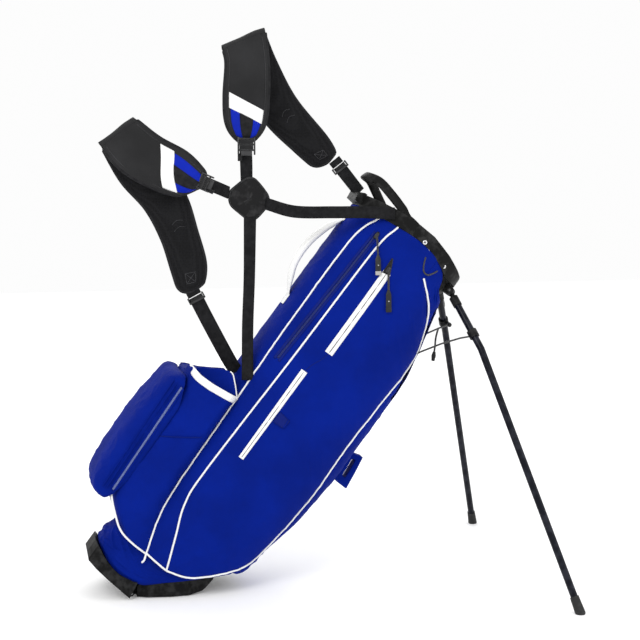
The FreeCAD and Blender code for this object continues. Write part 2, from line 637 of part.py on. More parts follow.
def cords():
    """Elastic loop at the collar's corner, the left leg's elastic, and its hanging tie cord."""
    route = [V(v, -body_y(v, u) - 3.6, u) for v, u in COLLAR_LOOP]
    keep("elastic_loop", place(arc_tube(route, COLLAR_LOOP_R)))
    keep("leg_elastic", arc_tube([V(*p) for p in LEG_ELASTIC], LEG_ELASTIC_R))
    keep("leg_tie_cord", arc_tube([V(*p) for p in LEG_TIE_CORD], LEG_TIE_R))
    end, before = V(*LEG_TIE_CORD[-1]), V(*LEG_TIE_CORD[-2])
    along = unit(end - before)
    toggle = Part.makeCone(3.2, 5.2, 9, end, along)
    toggle = toggle.fuse(Part.makeCone(5.2, 3.6, 12, end + along * 9, along))
    keep("tie_toggle", toggle.removeSplitter())


# each pull: v, u of its slider, then how far out it hangs as (distance down, y) past the slider
ZIP_PULLS = {
    "apparel": (-71, 885, [(0, 106.0), (14, 111.6), (26, 113.4), (40, 117.1), (81, 121.0)]),
    "side": (-11, 842, [(0, 118.4), (20, 119.5), (42, 120.6), (88, 122.6)]),
}
PULL_CORD_R = 1.5
PULL_TAB_HALF = 6.0


def zip_pulls():
    """Slider with its cord and rubber pull, hanging straight down from the slider."""
    plumb = V(math.sin(math.radians(LEAN)), 0, -math.cos(math.radians(LEAN)))
    across = V(-plumb.z, 0, plumb.x) * PULL_TAB_HALF
    for name, (v, u, hang) in ZIP_PULLS.items():
        top = -body_y(v, u) - TRIM
        slider = Part.makeBox(8, 4.2, 15, V(v - 4, top - 6.2, u - 7.5))
        points = [V(v, -y, u) + plumb * down for down, y in hang]
        cord = tube(points[:-1], PULL_CORD_R)
        near, far = points[-2], points[-1]
        neck = near + (far - near) * 0.15
        tab = band([(near - across * 0.7, near + across * 0.7), (neck - across, neck + across),
                    (far - across, far + across)], 3.4)
        keep("zip_pull_" + name, place(slider.multiFuse([cord, tab]).removeSplitter()))


# ---- shoulder straps, drawn in the standing frame ----
def pair(a, b):
    return V(*a), V(*b)


PADS = {
    "shoulder_pad_left_front": [((-50, -72, 985), (-122, -72, 932)), ((-6, -84, 950), (-92, -84, 893)),
                                ((47, -84, 920), (-44, -84, 860)), ((81, -74, 887), (21, -74, 834)),
                                ((90, -62, 868), (60, -62, 842))],
    "shoulder_pad_left_rear": [((-50, -58, 985), (-122, -58, 932)), ((7, -50, 897), (-83, -50, 862)),
                               ((49, -42, 831), (-33, -42, 804)), ((71, -40, 761), (-1, -40, 742)),
                               ((89, -38, 692), (19, -38, 678)), ((84, -38, 644), (34, -38, 634))],
    "shoulder_pad_top_front": [((222, -4, 1166), (134, -4, 1130)), ((226, -20, 1099), (137, -20, 1100)),
                               ((225, -25, 1035), (132, -25, 1035)), ((219, -25, 982), (135, -25, 982)),
                               ((199, -21, 942), (155, -21, 942))],
    "shoulder_pad_top_rear": [((222, 10, 1166), (134, 10, 1130)), ((249, 22, 1107), (172, 22, 1068)),
                              ((292, 30, 1031), (228, 30, 982)), ((360, 35, 951), (293, 35, 920)),
                              ((381, 36, 914), (335, 36, 886))],
}
WEBS = {
    "webbing_hub_to_pads": [[((88, -63, 872), (78, -63, 848)), ((138, -44, 851), (133, -44, 826))],
                            [((189, -21, 940), (163, -21, 940)), ((188, -36, 864), (163, -36, 864))]],
    "webbing_hub_to_bag": [[((194, -44, 785), (168, -44, 785)), ((189, -56, 665), (165, -56, 665)),
                            ((183, -68, 560), (159, -68, 560)), ((180, -82, 452), (156, -79, 452))],
                           [((220, -44, 826), (216, -44, 801)), ((273, -66, 811), (268, -66, 786)),
                            ((350, -90, 810), (346, -90, 785)), ((410, -101, 810), (409, -101, 785)),
                            ((474, -106, 807), (474, -108, 782))]],
    "webbing_pads_to_bag": [[((73, -38, 644), (47, -38, 630)), ((152, -32, 491), (126, -32, 477)),
                             ((166, -30, 470), (142, -30, 457))],
                            [((387, 35, 911), (365, 35, 894)), ((438, 19, 842), (419, 19, 824))]],
}


def straps():
    for name, rows in PADS.items():
        keep(name, band([pair(a, b) for a, b in rows], PAD_THICK))
    for name, runs in WEBS.items():
        keep(name, Part.makeCompound([band([pair(a, b) for a, b in rows], WEB_THICK) for rows in runs]))
    square = [(136, 832), (150, 849), (179, 869), (200, 860), (221, 833), (222, 812), (205, 792),
              (184, 779), (160, 793), (139, 811)]
    keep("strap_hub", side_prism(square, -43, -38))


def slide_bar(name, run, along, length, wide, thick):
    """Moulded bar that slides along one webbing: a flat frame with the webbing's slot through it."""
    (a0, b0), (a1, b1) = [pair(*r) for r in run]
    start, end = (a0 + b0) * 0.5, (a1 + b1) * 0.5
    ahead, across = unit(end - start), unit(b0 - a0)
    through = unit(ahead.cross(across))
    across = through.cross(ahead)
    middle = start + ahead * along
    half, deep = wide / 2, thick / 2
    open_half, gap = half - 2.5, WEB_THICK / 2 + 0.5
    frame = oriented_box(middle, ahead, across, through, (0, length), (-half, half), (-deep, deep))
    slot = oriented_box(middle, ahead, across, through, (-5, length + 5), (-open_half, open_half),
                        (-gap, gap))
    keep(name, frame.cut(slot))


def strap_buckles():
    """Ladder locks at the pads' tips, and sliding bars on the long webbings."""
    locks = []
    for a, b, c, d in (((79, -72.5, 880), (63, -72.5, 850), (105, -62.5, 868), (91, -62.5, 839)),
                       ((196, -31, 951), (157, -31, 951), (193, -36.5, 915), (158, -36.5, 915))):
        locks.append(band([pair(a, b), pair(c, d)], 4.0))
    keep("strap_ladder_locks", Part.makeCompound(locks))
    slide_bar("slide_bar_left", WEBS["webbing_pads_to_bag"][0][:2], 12, 14, 37, 7)
    slide_bar("slide_bar_top", WEBS["webbing_pads_to_bag"][1][:2], 14, 14, 36, 7)


def finish():
    os.makedirs("parts", exist_ok=True)
    for name, shape in NODES.items():
        shape.exportStep("parts/" + name + ".step")


SKIN = body_skin()
split_skin()
zips()
fabric_tabs()
keep_piping()
COLLAR = collar()
keep("collar", COLLAR)
dividers()
stays()
lift_handle()
carry_handle()
collar_rivets()
rear_pockets()
ball_pocket()
for local_name in list(NODES):
    NODES[local_name] = place(NODES[local_name])
base_rear()
foot_tray()
foot_pads()
skirt()
legs(-1, "right")
legs(1, "left")
leg_hinge()
rods_and_links()
cords()
zip_pulls()
straps()
strap_buckles()
for n, s in NODES.items():
    print(n, s.ShapeType, len(s.Solids), "valid", s.isValid(), round(s.Volume / 1000.0, 2))
finish()
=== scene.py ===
"""Looks of a golf stand bag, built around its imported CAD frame.

Most shapes are drawn in the bag's own frame in millimetres: v runs from the spine to the legs,
y is the width and u runs up the bag's axis.  world() leans them as the frame has them, in metres.
"""
import bpy
import bmesh
import math
from itertools import product
import numpy as np
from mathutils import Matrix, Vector, noise

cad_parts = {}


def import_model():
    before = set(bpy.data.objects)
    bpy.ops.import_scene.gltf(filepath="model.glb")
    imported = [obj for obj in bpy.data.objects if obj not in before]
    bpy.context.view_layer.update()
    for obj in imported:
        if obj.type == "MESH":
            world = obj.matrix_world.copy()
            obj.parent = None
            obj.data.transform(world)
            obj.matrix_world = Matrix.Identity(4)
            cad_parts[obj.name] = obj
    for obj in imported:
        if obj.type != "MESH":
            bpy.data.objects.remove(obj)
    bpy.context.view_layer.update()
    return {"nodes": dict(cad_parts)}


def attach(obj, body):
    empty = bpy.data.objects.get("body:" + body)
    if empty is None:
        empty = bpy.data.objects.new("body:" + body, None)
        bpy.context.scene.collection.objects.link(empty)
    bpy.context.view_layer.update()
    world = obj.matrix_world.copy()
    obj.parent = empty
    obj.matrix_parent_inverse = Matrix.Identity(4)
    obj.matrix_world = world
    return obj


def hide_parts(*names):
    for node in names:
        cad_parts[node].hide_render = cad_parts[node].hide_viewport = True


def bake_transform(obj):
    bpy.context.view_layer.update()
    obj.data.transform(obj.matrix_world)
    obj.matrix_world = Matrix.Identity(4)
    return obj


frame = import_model()
NODES = frame["nodes"]

# ---- the bag's design sizes, in millimetres and degrees ----
LEAN = math.radians(37.0)
FOOT_SHIFT = -40.0
SPINE_V = -122.0
SECTION_POWER = 2.8
# height up the bag, front face, half-width
BODY = np.array([(40, 118, 98), (100, 140, 108), (200, 160, 114), (320, 176, 118), (450, 185, 118),
                 (640, 185, 118), (730, 174, 117), (800, 158, 114), (850, 146, 111), (880, 138, 109),
                 (960, 138, 104)], float)
LOWER_EDGE = [(-130, 84), (-68, 76), (-12, 70), (29, 81), (66, 106), (118, 156), (141, 224), (170, 310)]
UPPER_EDGE = [(-130, 917), (-84, 921), (-40, 926), (3, 929), (41, 926), (85, 911), (100, 897), (112, 872),
              (135, 860), (190, 852)]
REAR_SEAM = [(-84, 921), (-103, 850), (-105, 640), (-101, 430), (-97, 236), (-88, 150), (-66, 74)]
MID_SEAM = [(-44, 926), (-57, 851), (-63, 567), (-70, 287), (-64, 205), (-40, 140), (-12, 70)]
FRONT_SEAM = [(65, 871), (117, 830), (147, 780), (164, 726), (156, 620), (150, 491), (154, 376), (150, 300),
              (141, 224), (134, 187), (118, 156), (66, 106), (29, 81), (-12, 70)]
PIPING_R = 2.1
SKIN_THICK = 1.6
TURN_STEPS = 2880         # samples of the section for one turn
SOLVE_STEPS = 14          # for a height that depends on v, which depends on the height


def world(points):
    """Bag frame in millimetres to the row frame in metres."""
    p = np.asarray(points, float).reshape(-1, 3)
    x = p[:, 0] * math.cos(LEAN) + p[:, 2] * math.sin(LEAN) + FOOT_SHIFT
    z = -p[:, 0] * math.sin(LEAN) + p[:, 2] * math.cos(LEAN)
    return np.stack([x, p[:, 1], z], 1) / 1000.0


# ---- curves ----
def unit(rows):
    """Directions of length 1, one in each row."""
    return rows / np.linalg.norm(rows, axis=-1, keepdims=True)


def rounded(x, power):
    """Cosine or sine reshaped, so that a circle becomes a rounded square."""
    return np.sign(x) * np.abs(x) ** (2 / power)


def steps_along(points):
    """Length of a path up to each of its points."""
    return np.concatenate([[0], np.cumsum(np.linalg.norm(np.diff(points, axis=0), axis=1))])


def row_at(x, places, table):
    """The table's row at x, or rows at each x, when its own rows stand at places."""
    return np.stack([np.interp(x, places, column) for column in table.T], -1)


def pchip(xs, ys):
    """Smooth curve through points with no overshoot: returns a function of x."""
    order = np.argsort(xs)
    x, y = np.asarray(xs, float)[order], np.asarray(ys, float)[order]
    h = np.diff(x)
    d = np.diff(y) / h
    m = np.zeros(len(x))
    m[0], m[-1] = d[0], d[-1]
    for k in range(1, len(x) - 1):
        if d[k - 1] * d[k] > 0:
            w1, w2 = 2 * h[k] + h[k - 1], h[k] + 2 * h[k - 1]
            m[k] = (w1 + w2) / (w1 / d[k - 1] + w2 / d[k])

    def value(q):
        q = np.clip(np.asarray(q, float), x[0], x[-1])
        k = np.clip(np.searchsorted(x, q) - 1, 0, len(h) - 1)
        t = (q - x[k]) / h[k]
        return ((1 + 2 * t) * (1 - t) ** 2 * y[k] + t * (1 - t) ** 2 * h[k] * m[k]
                + t * t * (3 - 2 * t) * y[k + 1] + t * t * (t - 1) * h[k] * m[k + 1])
    return value


def curve_point(p, k, t):
    """Catmull-Rom point between points k and k + 1 of p."""
    ends = np.vstack([2 * p[0] - p[1], p, 2 * p[-1] - p[-2]])
    a, b, c, d = ends[k:k + 4]
    return 0.5 * (2 * b + (c - a) * t + (2 * a - 5 * b + 4 * c - d) * t * t
                  + (3 * b - 3 * c + d - a) * t ** 3)


def smooth_line(points, step=4.0):
    """Curve through points, sampled about every step."""
    p = np.asarray(points, float)
    out = []
    for k in range(len(p) - 1):
        count = max(2, int(np.linalg.norm(p[k + 1] - p[k]) / step))
        out += [curve_point(p, k, t) for t in np.arange(count) / count]
    return np.array(out + [p[-1]])


def sampled(points, count):
    """Curve through points at evenly spaced places of its own parameter."""
    p = np.asarray(points, float)
    out = []
    for x in np.linspace(0, len(p) - 1, count):
        k = min(int(x), len(p) - 2)
        out.append(curve_point(p, k, x - k))
    return np.array(out)


front_at = pchip(BODY[:, 0], BODY[:, 1])
half_at = pchip(BODY[:, 0], BODY[:, 2])
lower_at = pchip(*zip(*LOWER_EDGE))
upper_at = pchip(*zip(*UPPER_EDGE))
rear_at = pchip([u for v, u in REAR_SEAM], [v for v, u in REAR_SEAM])
mid_at = pchip([u for v, u in MID_SEAM], [v for v, u in MID_SEAM])
front_seam_at = pchip([u for v, u in FRONT_SEAM], [v for v, u in FRONT_SEAM])


def ease(x):
    """Smooth step from 0 to 1."""
    x = np.clip(x, 0.0, 1.0)
    return x * x * (3 - 2 * x)


def span_at(u):
    """Middle and half-depth of the body's section at u."""
    front = front_at(u)
    return (SPINE_V + front) / 2, (front - SPINE_V) / 2


def ring_point(a, u):
    """Outer body at angle a: pi at the spine, 1.5 pi on the right side, 2 pi in front."""
    middle, reach = span_at(u)
    return (middle + reach * rounded(np.cos(a), SECTION_POWER),
            half_at(u) * rounded(np.sin(a), SECTION_POWER))


def ring_angle(v, u, side):
    """Angle of the wall point at v; side is -1 right, 1 left."""
    middle, reach = span_at(u)
    ratio = np.clip((v - middle) / reach, -1, 1)
    return 2 * math.pi + side * np.arccos(np.sign(ratio) * np.abs(ratio) ** (SECTION_POWER / 2))


def side_y(v, u):
    """Half-width of the body at v, u."""
    return np.abs(ring_point(ring_angle(v, u, -1), u)[1])


# ---- fabric relief ----
def seam_samples():
    """Points along the six seams, which pull the stuffed cloth in."""
    rows = []
    for at, low, high in ((rear_at, 74, 921), (mid_at, 70, 926), (front_seam_at, 70, 871)):
        u = np.linspace(low, high, 260)
        v = at(u)
        y = side_y(v, u)
        rows += [np.stack([v, -y, u], 1), np.stack([v, y, u], 1)]
    return np.vstack(rows)


SEAM_POINTS = seam_samples()


def seam_distance(p):
    """Distance of each point from the nearest seam, worked out in blocks to save memory."""
    block = 4000
    out = np.empty(len(p))
    for k in range(0, len(p), block):
        gap = p[k:k + block, None, :] - SEAM_POINTS[None, :, :]
        out[k:k + block] = np.sqrt((gap ** 2).sum(2).min(1))
    return out


def noise_at(p, scale, seed=0.0):
    """Smooth noise of points, stretched by scale in (v, y, u)."""
    q = p / np.asarray(scale, float)
    return np.array([noise.noise(Vector((a + seed, b - seed, c + seed * 0.7))) for a, b, c in q])


def creases(p, slant, width, length, seed):
    """Soft folds that run at an angle across the cloth; 0 to 1."""
    c, s = math.cos(slant), math.sin(slant)
    q = np.stack([(p[:, 0] * c + p[:, 2] * s), p[:, 1] * 0.9, (-p[:, 0] * s + p[:, 2] * c)], 1)
    return (1 - np.abs(noise_at(q, (width, width * 2.2, length), seed)) * 2.2).clip(0, 1) ** 3


def relief(p):
    """How far the stuffed cloth stands out of the plain body, in millimetres."""
    away = seam_distance(p)
    crown = 3.4 * (1 - np.exp(-away / 26.0)) - 1.6 * np.exp(-(away / 5.0) ** 2)
    broad = 1.9 * noise_at(p, (95, 120, 190), 3.1) * (1 - np.exp(-away / 20.0))
    where = ease(noise_at(p, (120, 150, 160), 8.4) * 1.6 + 0.55)
    fold = 1.5 * creases(p, 0.75, 30, 170, 1.7) * where + 0.9 * creases(p, -0.5, 22, 120, 5.3) * (1 - where)
    pucker = 0.55 * noise_at(p, (14, 14, 9), 2.2) * np.exp(-away / 9.0)
    low = np.exp(-((p[:, 2] - 110) / 70.0) ** 2)
    sag = 1.6 * creases(p, 1.45, 26, 150, 9.1) * low
    return crown + broad + fold + pucker + sag


# ---- mesh helpers ----
def put(obj):
    """Puts an object in the scene."""
    bpy.context.scene.collection.objects.link(obj)
    return obj


def make_object(name, verts, faces, material, smooth=True):
    """Mesh object from points in the row frame, in metres; material is a name in M."""
    mesh = bpy.data.meshes.new(name)
    mesh.from_pydata([tuple(v) for v in verts], [], faces)
    mesh.validate()
    mesh.polygons.foreach_set("use_smooth", [smooth] * len(mesh.polygons))
    mesh.materials.append(M[material])
    fix = bmesh.new()
    fix.from_mesh(mesh)
    bmesh.ops.recalc_face_normals(fix, faces=fix.faces)
    fix.to_mesh(mesh)
    fix.free()
    return put(bpy.data.objects.new(name, mesh))


def grid_faces(rows, cols, wrap=False):
    """Quads of a grid of points; wrap joins each row's ends."""
    faces = []
    for i in range(rows - 1):
        for j in range(cols if wrap else cols - 1):
            k = (j + 1) % cols
            faces.append((i * cols + j, i * cols + k, (i + 1) * cols + k, (i + 1) * cols + j))
    return faces


def closed_faces(rings, around):
    """Quads between rings of points, with a face over each end."""
    last = (rings - 1) * around
    ends = [tuple(range(around))[::-1], tuple(range(last, last + around))]
    return grid_faces(rings, around, wrap=True) + ends


def thicken(obj, thick, offset=-1.0):
    """Gives a sheet a thickness in millimetres, inwards from its face."""
    made = obj.modifiers.new("thickness", "SOLIDIFY")
    made.thickness, made.offset = thick / 1000.0, offset
    made.use_even_offset = False
    return obj


def soften(obj, width, segments, angle):
    """Bevels the edges that turn by more than an angle in degrees."""
    made = obj.modifiers.new("edges", "BEVEL")
    made.width, made.segments = width / 1000.0, segments
    made.limit_method, made.angle_limit = "ANGLE", math.radians(angle)


def frames_along(path):
    """Tangents and a steady pair of side vectors along a path."""
    tangent = unit(np.gradient(path, axis=0))
    side = np.cross(tangent[0], [0.3, 0.9, 0.2])
    sides = []
    for t in tangent:
        side = unit(side - t * side.dot(t))
        sides.append(side)
    return tangent, np.array(sides), np.cross(tangent, sides)


def tube(name, path, radius, material, around=10):
    """Round bar with blunt points at its ends, along points in metres; radius in millimetres."""
    p, r = np.asarray(path, float), radius / 1000.0
    tangent, side, up = frames_along(p)
    angles = np.arange(around) * 2 * math.pi / around
    rings = [p[i] + r * (np.outer(np.cos(angles), side[i]) + np.outer(np.sin(angles), up[i]))
             for i in range(len(p))]
    point = r * 0.4
    verts = np.vstack(rings + [p[:1] - tangent[:1] * point, p[-1:] + tangent[-1:] * point])
    first, base = len(p) * around, (len(p) - 1) * around
    faces = grid_faces(len(p), around, wrap=True)
    faces += [(first, (j + 1) % around, j) for j in range(around)]
    faces += [(first + 1, base + j, base + (j + 1) % around) for j in range(around)]
    return make_object(name, verts, faces, material)


def join(name, objects):
    """Several new meshes as one piece."""
    bpy.ops.object.select_all(action="DESELECT")
    for o in objects:
        o.select_set(True)
    bpy.context.view_layer.objects.active = objects[0]
    bpy.ops.object.join()
    objects[0].name = name
    return objects[0]


def settle(obj, slot, *nodes, body="root"):
    """Rides on its body and stands for its CAD nodes; slot is not used."""
    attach(obj, body)
    if nodes:
        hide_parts(*nodes)


# ---- materials ----
def shader(name, color, roughness, metallic=0.0, coat=0.0, sheen=0.0, gloss=0.5):
    """New material and the shader node in it."""
    material = bpy.data.materials.new(name)
    material.use_nodes = True
    surface = material.node_tree.nodes["Principled BSDF"]
    for key, value in (("Base Color", (*color, 1.0)), ("Roughness", roughness), ("Metallic", metallic),
                       ("Coat Weight", coat), ("Sheen Weight", sheen), ("Specular IOR Level", gloss)):
        surface.inputs[key].default_value = value
    return material, surface


def tint(color, scale, more=0.0):
    """A lighter or darker color."""
    return tuple(min(1.0, c * scale + more) for c in color)


def node(owner, kind, **values):
    """New node in the tree that owner is in; a value is a socket to link, an input or a setting."""
    made = owner.id_data.nodes.new(kind)
    for key, value in values.items():
        if isinstance(value, bpy.types.NodeSocket):
            owner.id_data.links.new(value, made.inputs[key])
        elif key in made.inputs:
            made.inputs[key].default_value = value
        else:
            setattr(made, key, value)
    return made


def place_vector(surface, output="Object"):
    """Where a point is on the object, in metres, or its UVs."""
    return node(surface, "ShaderNodeTexCoord").outputs[output]


def noise_height(vector, scale, detail=3.0):
    """Soft noise, scale times finer than a metre."""
    made = node(vector, "ShaderNodeTexNoise", Scale=scale, Detail=detail, Roughness=0.55, Vector=vector)
    return made.outputs["Fac"]


def add_bump(surface, height, strength, distance):
    """One more bump on top of the ones the surface has."""
    made = node(surface, "ShaderNodeBump", Height=height, Strength=strength, Distance=distance)
    links, normal = surface.id_data.links, surface.inputs["Normal"]
    if normal.is_linked:
        links.new(normal.links[0].from_socket, made.inputs["Normal"])
    links.new(made.outputs["Normal"], normal)


def spread_color(surface, factor, dark, light, low=0.35, high=0.65):
    """Base color from dark to light, as the factor goes from low to high."""
    ramp = node(surface, "ShaderNodeValToRGB", Fac=factor)
    for element, position, color in zip(ramp.color_ramp.elements, (low, high), (dark, light)):
        element.position = position
        element.color = (*color, 1.0)
    surface.id_data.links.new(ramp.outputs["Color"], surface.inputs["Base Color"])


def spread_roughness(surface, factor, low, high):
    """Roughness from low to high, as the factor goes from 0 to 1."""
    made = node(surface, "ShaderNodeMapRange", Value=factor, **{"To Min": low, "To Max": high})
    surface.id_data.links.new(made.outputs["Result"], surface.inputs["Roughness"])


def sines(vector, pitch, turned=True):
    """Sine of each coordinate, once for each pitch in millimetres; turned is in the bag's leaning frame."""
    if turned:
        vector = node(vector, "ShaderNodeVectorRotate", rotation_type="Y_AXIS", Angle=LEAN,
                      Vector=vector).outputs["Vector"]
    scaled = node(vector, "ShaderNodeVectorMath", operation="SCALE", Scale=2 * math.pi * 1000.0 / pitch,
                  Vector=vector)
    wave = node(vector, "ShaderNodeVectorMath", operation="SINE", Vector=scaled.outputs["Vector"])
    return node(vector, "ShaderNodeSeparateXYZ", Vector=wave.outputs["Vector"]).outputs


def sums(kind, a, b):
    """Math node of a socket and another socket or a number."""
    made = node(a, "ShaderNodeMath", operation=kind)
    a.id_data.links.new(a, made.inputs[0])
    if isinstance(b, bpy.types.NodeSocket):
        a.id_data.links.new(b, made.inputs[1])
    else:
        made.inputs[1].default_value = b
    return made.outputs[0]


def wave_of(socket, turns):
    """Sine with so many waves for each 1 of a socket."""
    return sums("SINE", sums("MULTIPLY", socket, 2 * math.pi * turns), 0.0)


def weave_height(vector, pitch):
    """Plain weave on every wall of the bag: threads over and under each other."""
    v, y, u = sines(vector, pitch)
    return sums("ADD", sums("MULTIPLY", v, u), sums("MULTIPLY", y, u))


def cloth(name, color, roughness, pitch=1.3, spread=0.12, sheen=0.25, weave=0.35, gloss=0.12):
    """Woven cloth: threads, soft uneven dye and small rumples."""
    material, surface = shader(name, color, roughness, sheen=sheen, gloss=gloss)
    vector = place_vector(surface)
    broad = noise_height(vector, 9.0, 4.0)
    spread_color(surface, broad, tint(color, 1 - spread), tint(color, 1 + spread))
    spread_roughness(surface, noise_height(vector, 35.0), roughness - 0.07, roughness + 0.07)
    add_bump(surface, noise_height(vector, 60.0, 4.0), 0.25, 0.0015)
    add_bump(surface, weave_height(vector, pitch), weave, 0.0003)
    surface.inputs["Sheen Roughness"].default_value = 0.45
    return material


def moulded(name, color, roughness, grain=900.0, strength=0.18, coat=0.0, gloss=0.35):
    """Moulded plastic: fine spark-eroded grain, paler on its edges where it rubs."""
    material, surface = shader(name, color, roughness, coat=coat, gloss=gloss)
    vector = place_vector(surface)
    edges = node(surface, "ShaderNodeNewGeometry").outputs["Pointiness"]
    rubbed = sums("MULTIPLY", edges, noise_height(vector, 55.0, 5.0))
    spread_color(surface, sums("MULTIPLY", rubbed, 2.0), color, tint(color, 1.9, 0.012), 0.52, 0.72)
    spread_roughness(surface, noise_height(vector, 40.0, 4.0), roughness - 0.08, roughness + 0.1)
    add_bump(surface, noise_height(vector, grain, 2.0), strength, 0.0002)
    return material


def ribbed_webbing(name, color, rib=1.9):
    """Woven strap: cross ribs and a few lengthwise lines, from UVs of across and length in metres."""
    material, surface = shader(name, color, 0.7, gloss=0.1)
    split = node(surface, "ShaderNodeSeparateXYZ", Vector=place_vector(surface, "UV"))
    across = wave_of(split.outputs[0], 12)
    threads = sums("MULTIPLY", across, wave_of(split.outputs[1], 1000.0 / rib))
    spread_color(surface, noise_height(place_vector(surface), 90.0, 4.0), color, tint(color, 1.5, 0.004))
    add_bump(surface, threads, 0.8, 0.0005)
    add_bump(surface, across, 0.35, 0.0004)
    return material


def mesh_cloth(name, color):
    """Open spacer mesh over foam: round holes in rows."""
    material, surface = shader(name, color, 0.85, sheen=0.02, gloss=0.1)
    vector = place_vector(surface)
    cells = node(surface, "ShaderNodeTexVoronoi", Scale=330.0, Randomness=0.25, Vector=vector)
    holes = cells.outputs["Distance"]
    spread_color(surface, holes, color, tint(color, 2.2, 0.003), 0.2, 0.6)
    add_bump(surface, holes, 0.7, 0.0008)
    add_bump(surface, noise_height(vector, 25.0), 0.3, 0.002)
    return material


def metal(name, color, roughness):
    """Bare metal: fine scratches and a dull film in places."""
    material, surface = shader(name, color, roughness, metallic=1.0)
    vector = place_vector(surface)
    spread_roughness(surface, noise_height(vector, 120.0, 5.0), roughness - 0.06, roughness + 0.12)
    spread_color(surface, noise_height(vector, 30.0, 4.0), tint(color, 0.8), color)
    add_bump(surface, noise_height(vector, 700.0, 2.0), 0.08, 0.0001)
    return material


def braid(name, color):
    """Round braided cord: two crossing sets of strands."""
    material, surface = shader(name, color, 0.6, sheen=0.2)
    x, y, z = sines(place_vector(surface), 2.1, turned=False)
    strands = sums("MULTIPLY", sums("ADD", x, y), z)
    factor = sums("ADD", sums("MULTIPLY", strands, 0.25), 0.5)
    spread_color(surface, factor, color, tint(color, 2.0, 0.01), 0.3, 0.8)
    add_bump(surface, strands, 0.8, 0.0006)
    return material


def zip_coil(name, color, light):
    """Zip teeth: close pale and dark bars along UV length."""
    material, surface = shader(name, color, 0.45)
    split = node(surface, "ShaderNodeSeparateXYZ", Vector=place_vector(surface, "UV"))
    teeth = wave_of(split.outputs[1], 1000.0 / 1.6)
    bars = sums("ADD", sums("MULTIPLY", teeth, 0.5), 0.5)
    spread_color(surface, bars, color, light, 0.25, 0.75)
    add_bump(surface, teeth, 1.0, 0.0006)
    return material


M = {
    "blue": cloth("royal_blue_cloth", (0.0005, 0.0105, 0.19), 0.75, sheen=0.0, gloss=0.05),
    "white": cloth("white_trim_cloth", (0.80, 0.80, 0.79), 0.5, pitch=1.0, spread=0.03, sheen=0.1, weave=0.2),
    "lining": cloth("dark_lining_cloth", (0.02, 0.02, 0.024), 0.8, pitch=1.6),
    "divider": cloth("divider_cloth", (0.035, 0.037, 0.042), 0.75, pitch=1.4),
    "plastic": moulded("black_moulded_plastic", (0.005, 0.005, 0.005), 0.5, gloss=0.1),
    "base": moulded("base_plastic", (0.004, 0.004, 0.004), 0.55, grain=650.0, strength=0.3, gloss=0.1),
    "buckle": moulded("buckle_plastic", (0.010, 0.010, 0.011), 0.3, grain=1500.0, strength=0.08),
    "rubber": moulded("black_rubber", (0.012, 0.012, 0.012), 0.7, grain=500.0, strength=0.3),
    "pull_tip": moulded("pale_pull_tip", (0.35, 0.34, 0.32), 0.5),
    "mark": moulded("pale_bar", (0.6, 0.6, 0.6), 0.4),
    "paint": moulded("gloss_leg_paint", (0.0015, 0.002, 0.006), 0.3, grain=120.0, strength=0.03, coat=0.04,
                     gloss=0.12),
    "rod": moulded("black_rod_coating", (0.008, 0.008, 0.009), 0.25, grain=300.0, strength=0.05, coat=0.3),
    "steel": metal("plain_steel", (0.55, 0.55, 0.56), 0.28),
    "rivet": metal("bright_rivet", (0.78, 0.78, 0.78), 0.22),
    "stay": metal("grey_stay_rod", (0.30, 0.30, 0.31), 0.4),
    "cord": braid("black_braided_cord", (0.011, 0.011, 0.012)),
    "bright_blue": cloth("bright_blue_cloth", (0.0005, 0.014, 0.36), 0.6, pitch=1.5, sheen=0.0),
    "hub": moulded("hub_plate", (0.006, 0.006, 0.0065), 0.6, grain=700.0, strength=0.35, gloss=0.15),
    "webbing_plain": cloth("folded_webbing", (0.012, 0.012, 0.013), 0.7, pitch=1.2, weave=0.8),
    "pad": cloth("black_pad_cloth", (0.019, 0.019, 0.020), 0.75, pitch=1.5, spread=0.2, sheen=0.05,
                 weave=0.5),
    "mesh": mesh_cloth("black_spacer_mesh", (0.0035, 0.0035, 0.004)),
    "binding": ribbed_webbing("black_binding_tape", (0.010, 0.010, 0.011), rib=1.1),
    "webbing": ribbed_webbing("black_webbing", (0.008, 0.008, 0.009)),
    "coil": zip_coil("pale_zip_coil", (0.005, 0.02, 0.22), (0.30, 0.38, 0.70)),
    "blue_coil": zip_coil("blue_zip_coil", (0.0005, 0.006, 0.10), (0.002, 0.02, 0.22)),
    "dark_blue": cloth("dark_blue_tape", (0.0004, 0.008, 0.14), 0.6, pitch=1.0, sheen=0.0),
    "black_cloth": cloth("black_loop_cloth", (0.012, 0.012, 0.013), 0.7, pitch=1.0),
    "thread": cloth("pale_stitching", (0.06, 0.06, 0.065), 0.7, pitch=0.8),
}


# ---- the body's cloth ----
def wall_normal(p):
    """Outward direction of the plain body at points on it."""
    middle, reach = span_at(p[:, 2])
    half = half_at(p[:, 2])
    x, s = (p[:, 0] - middle) / reach, p[:, 1] / half
    power = SECTION_POWER - 1
    return unit(np.stack([np.sign(x) * np.abs(x) ** power / reach, np.sign(s) * np.abs(s) ** power / half,
                          0 * x], 1))


def lean_direction(n):
    """Directions in the bag frame, turned into the row frame."""
    return (world(n) - world([[0, 0, 0]])) * 1000.0


def lifted(p, lift):
    """Points on the cloth, lift millimetres proud of it."""
    return p + wall_normal(p) * (relief(p) + lift)[:, None]


def on_side(v, u, side, lift=0.0):
    """Points of the stuffed side wall at v, u; side is -1 right, 1 left."""
    v, u = np.asarray(v, float), np.asarray(u, float)
    return lifted(np.stack([v, side * side_y(v, u), u], 1), lift)


def arc_tables():
    """Length along the section for each angle, over two turns."""
    a = np.linspace(0, 4 * math.pi, 2 * TURN_STEPS + 1)
    return a, steps_along(np.stack(ring_point(a, 500.0), 1))


TURN, ALONG = arc_tables()


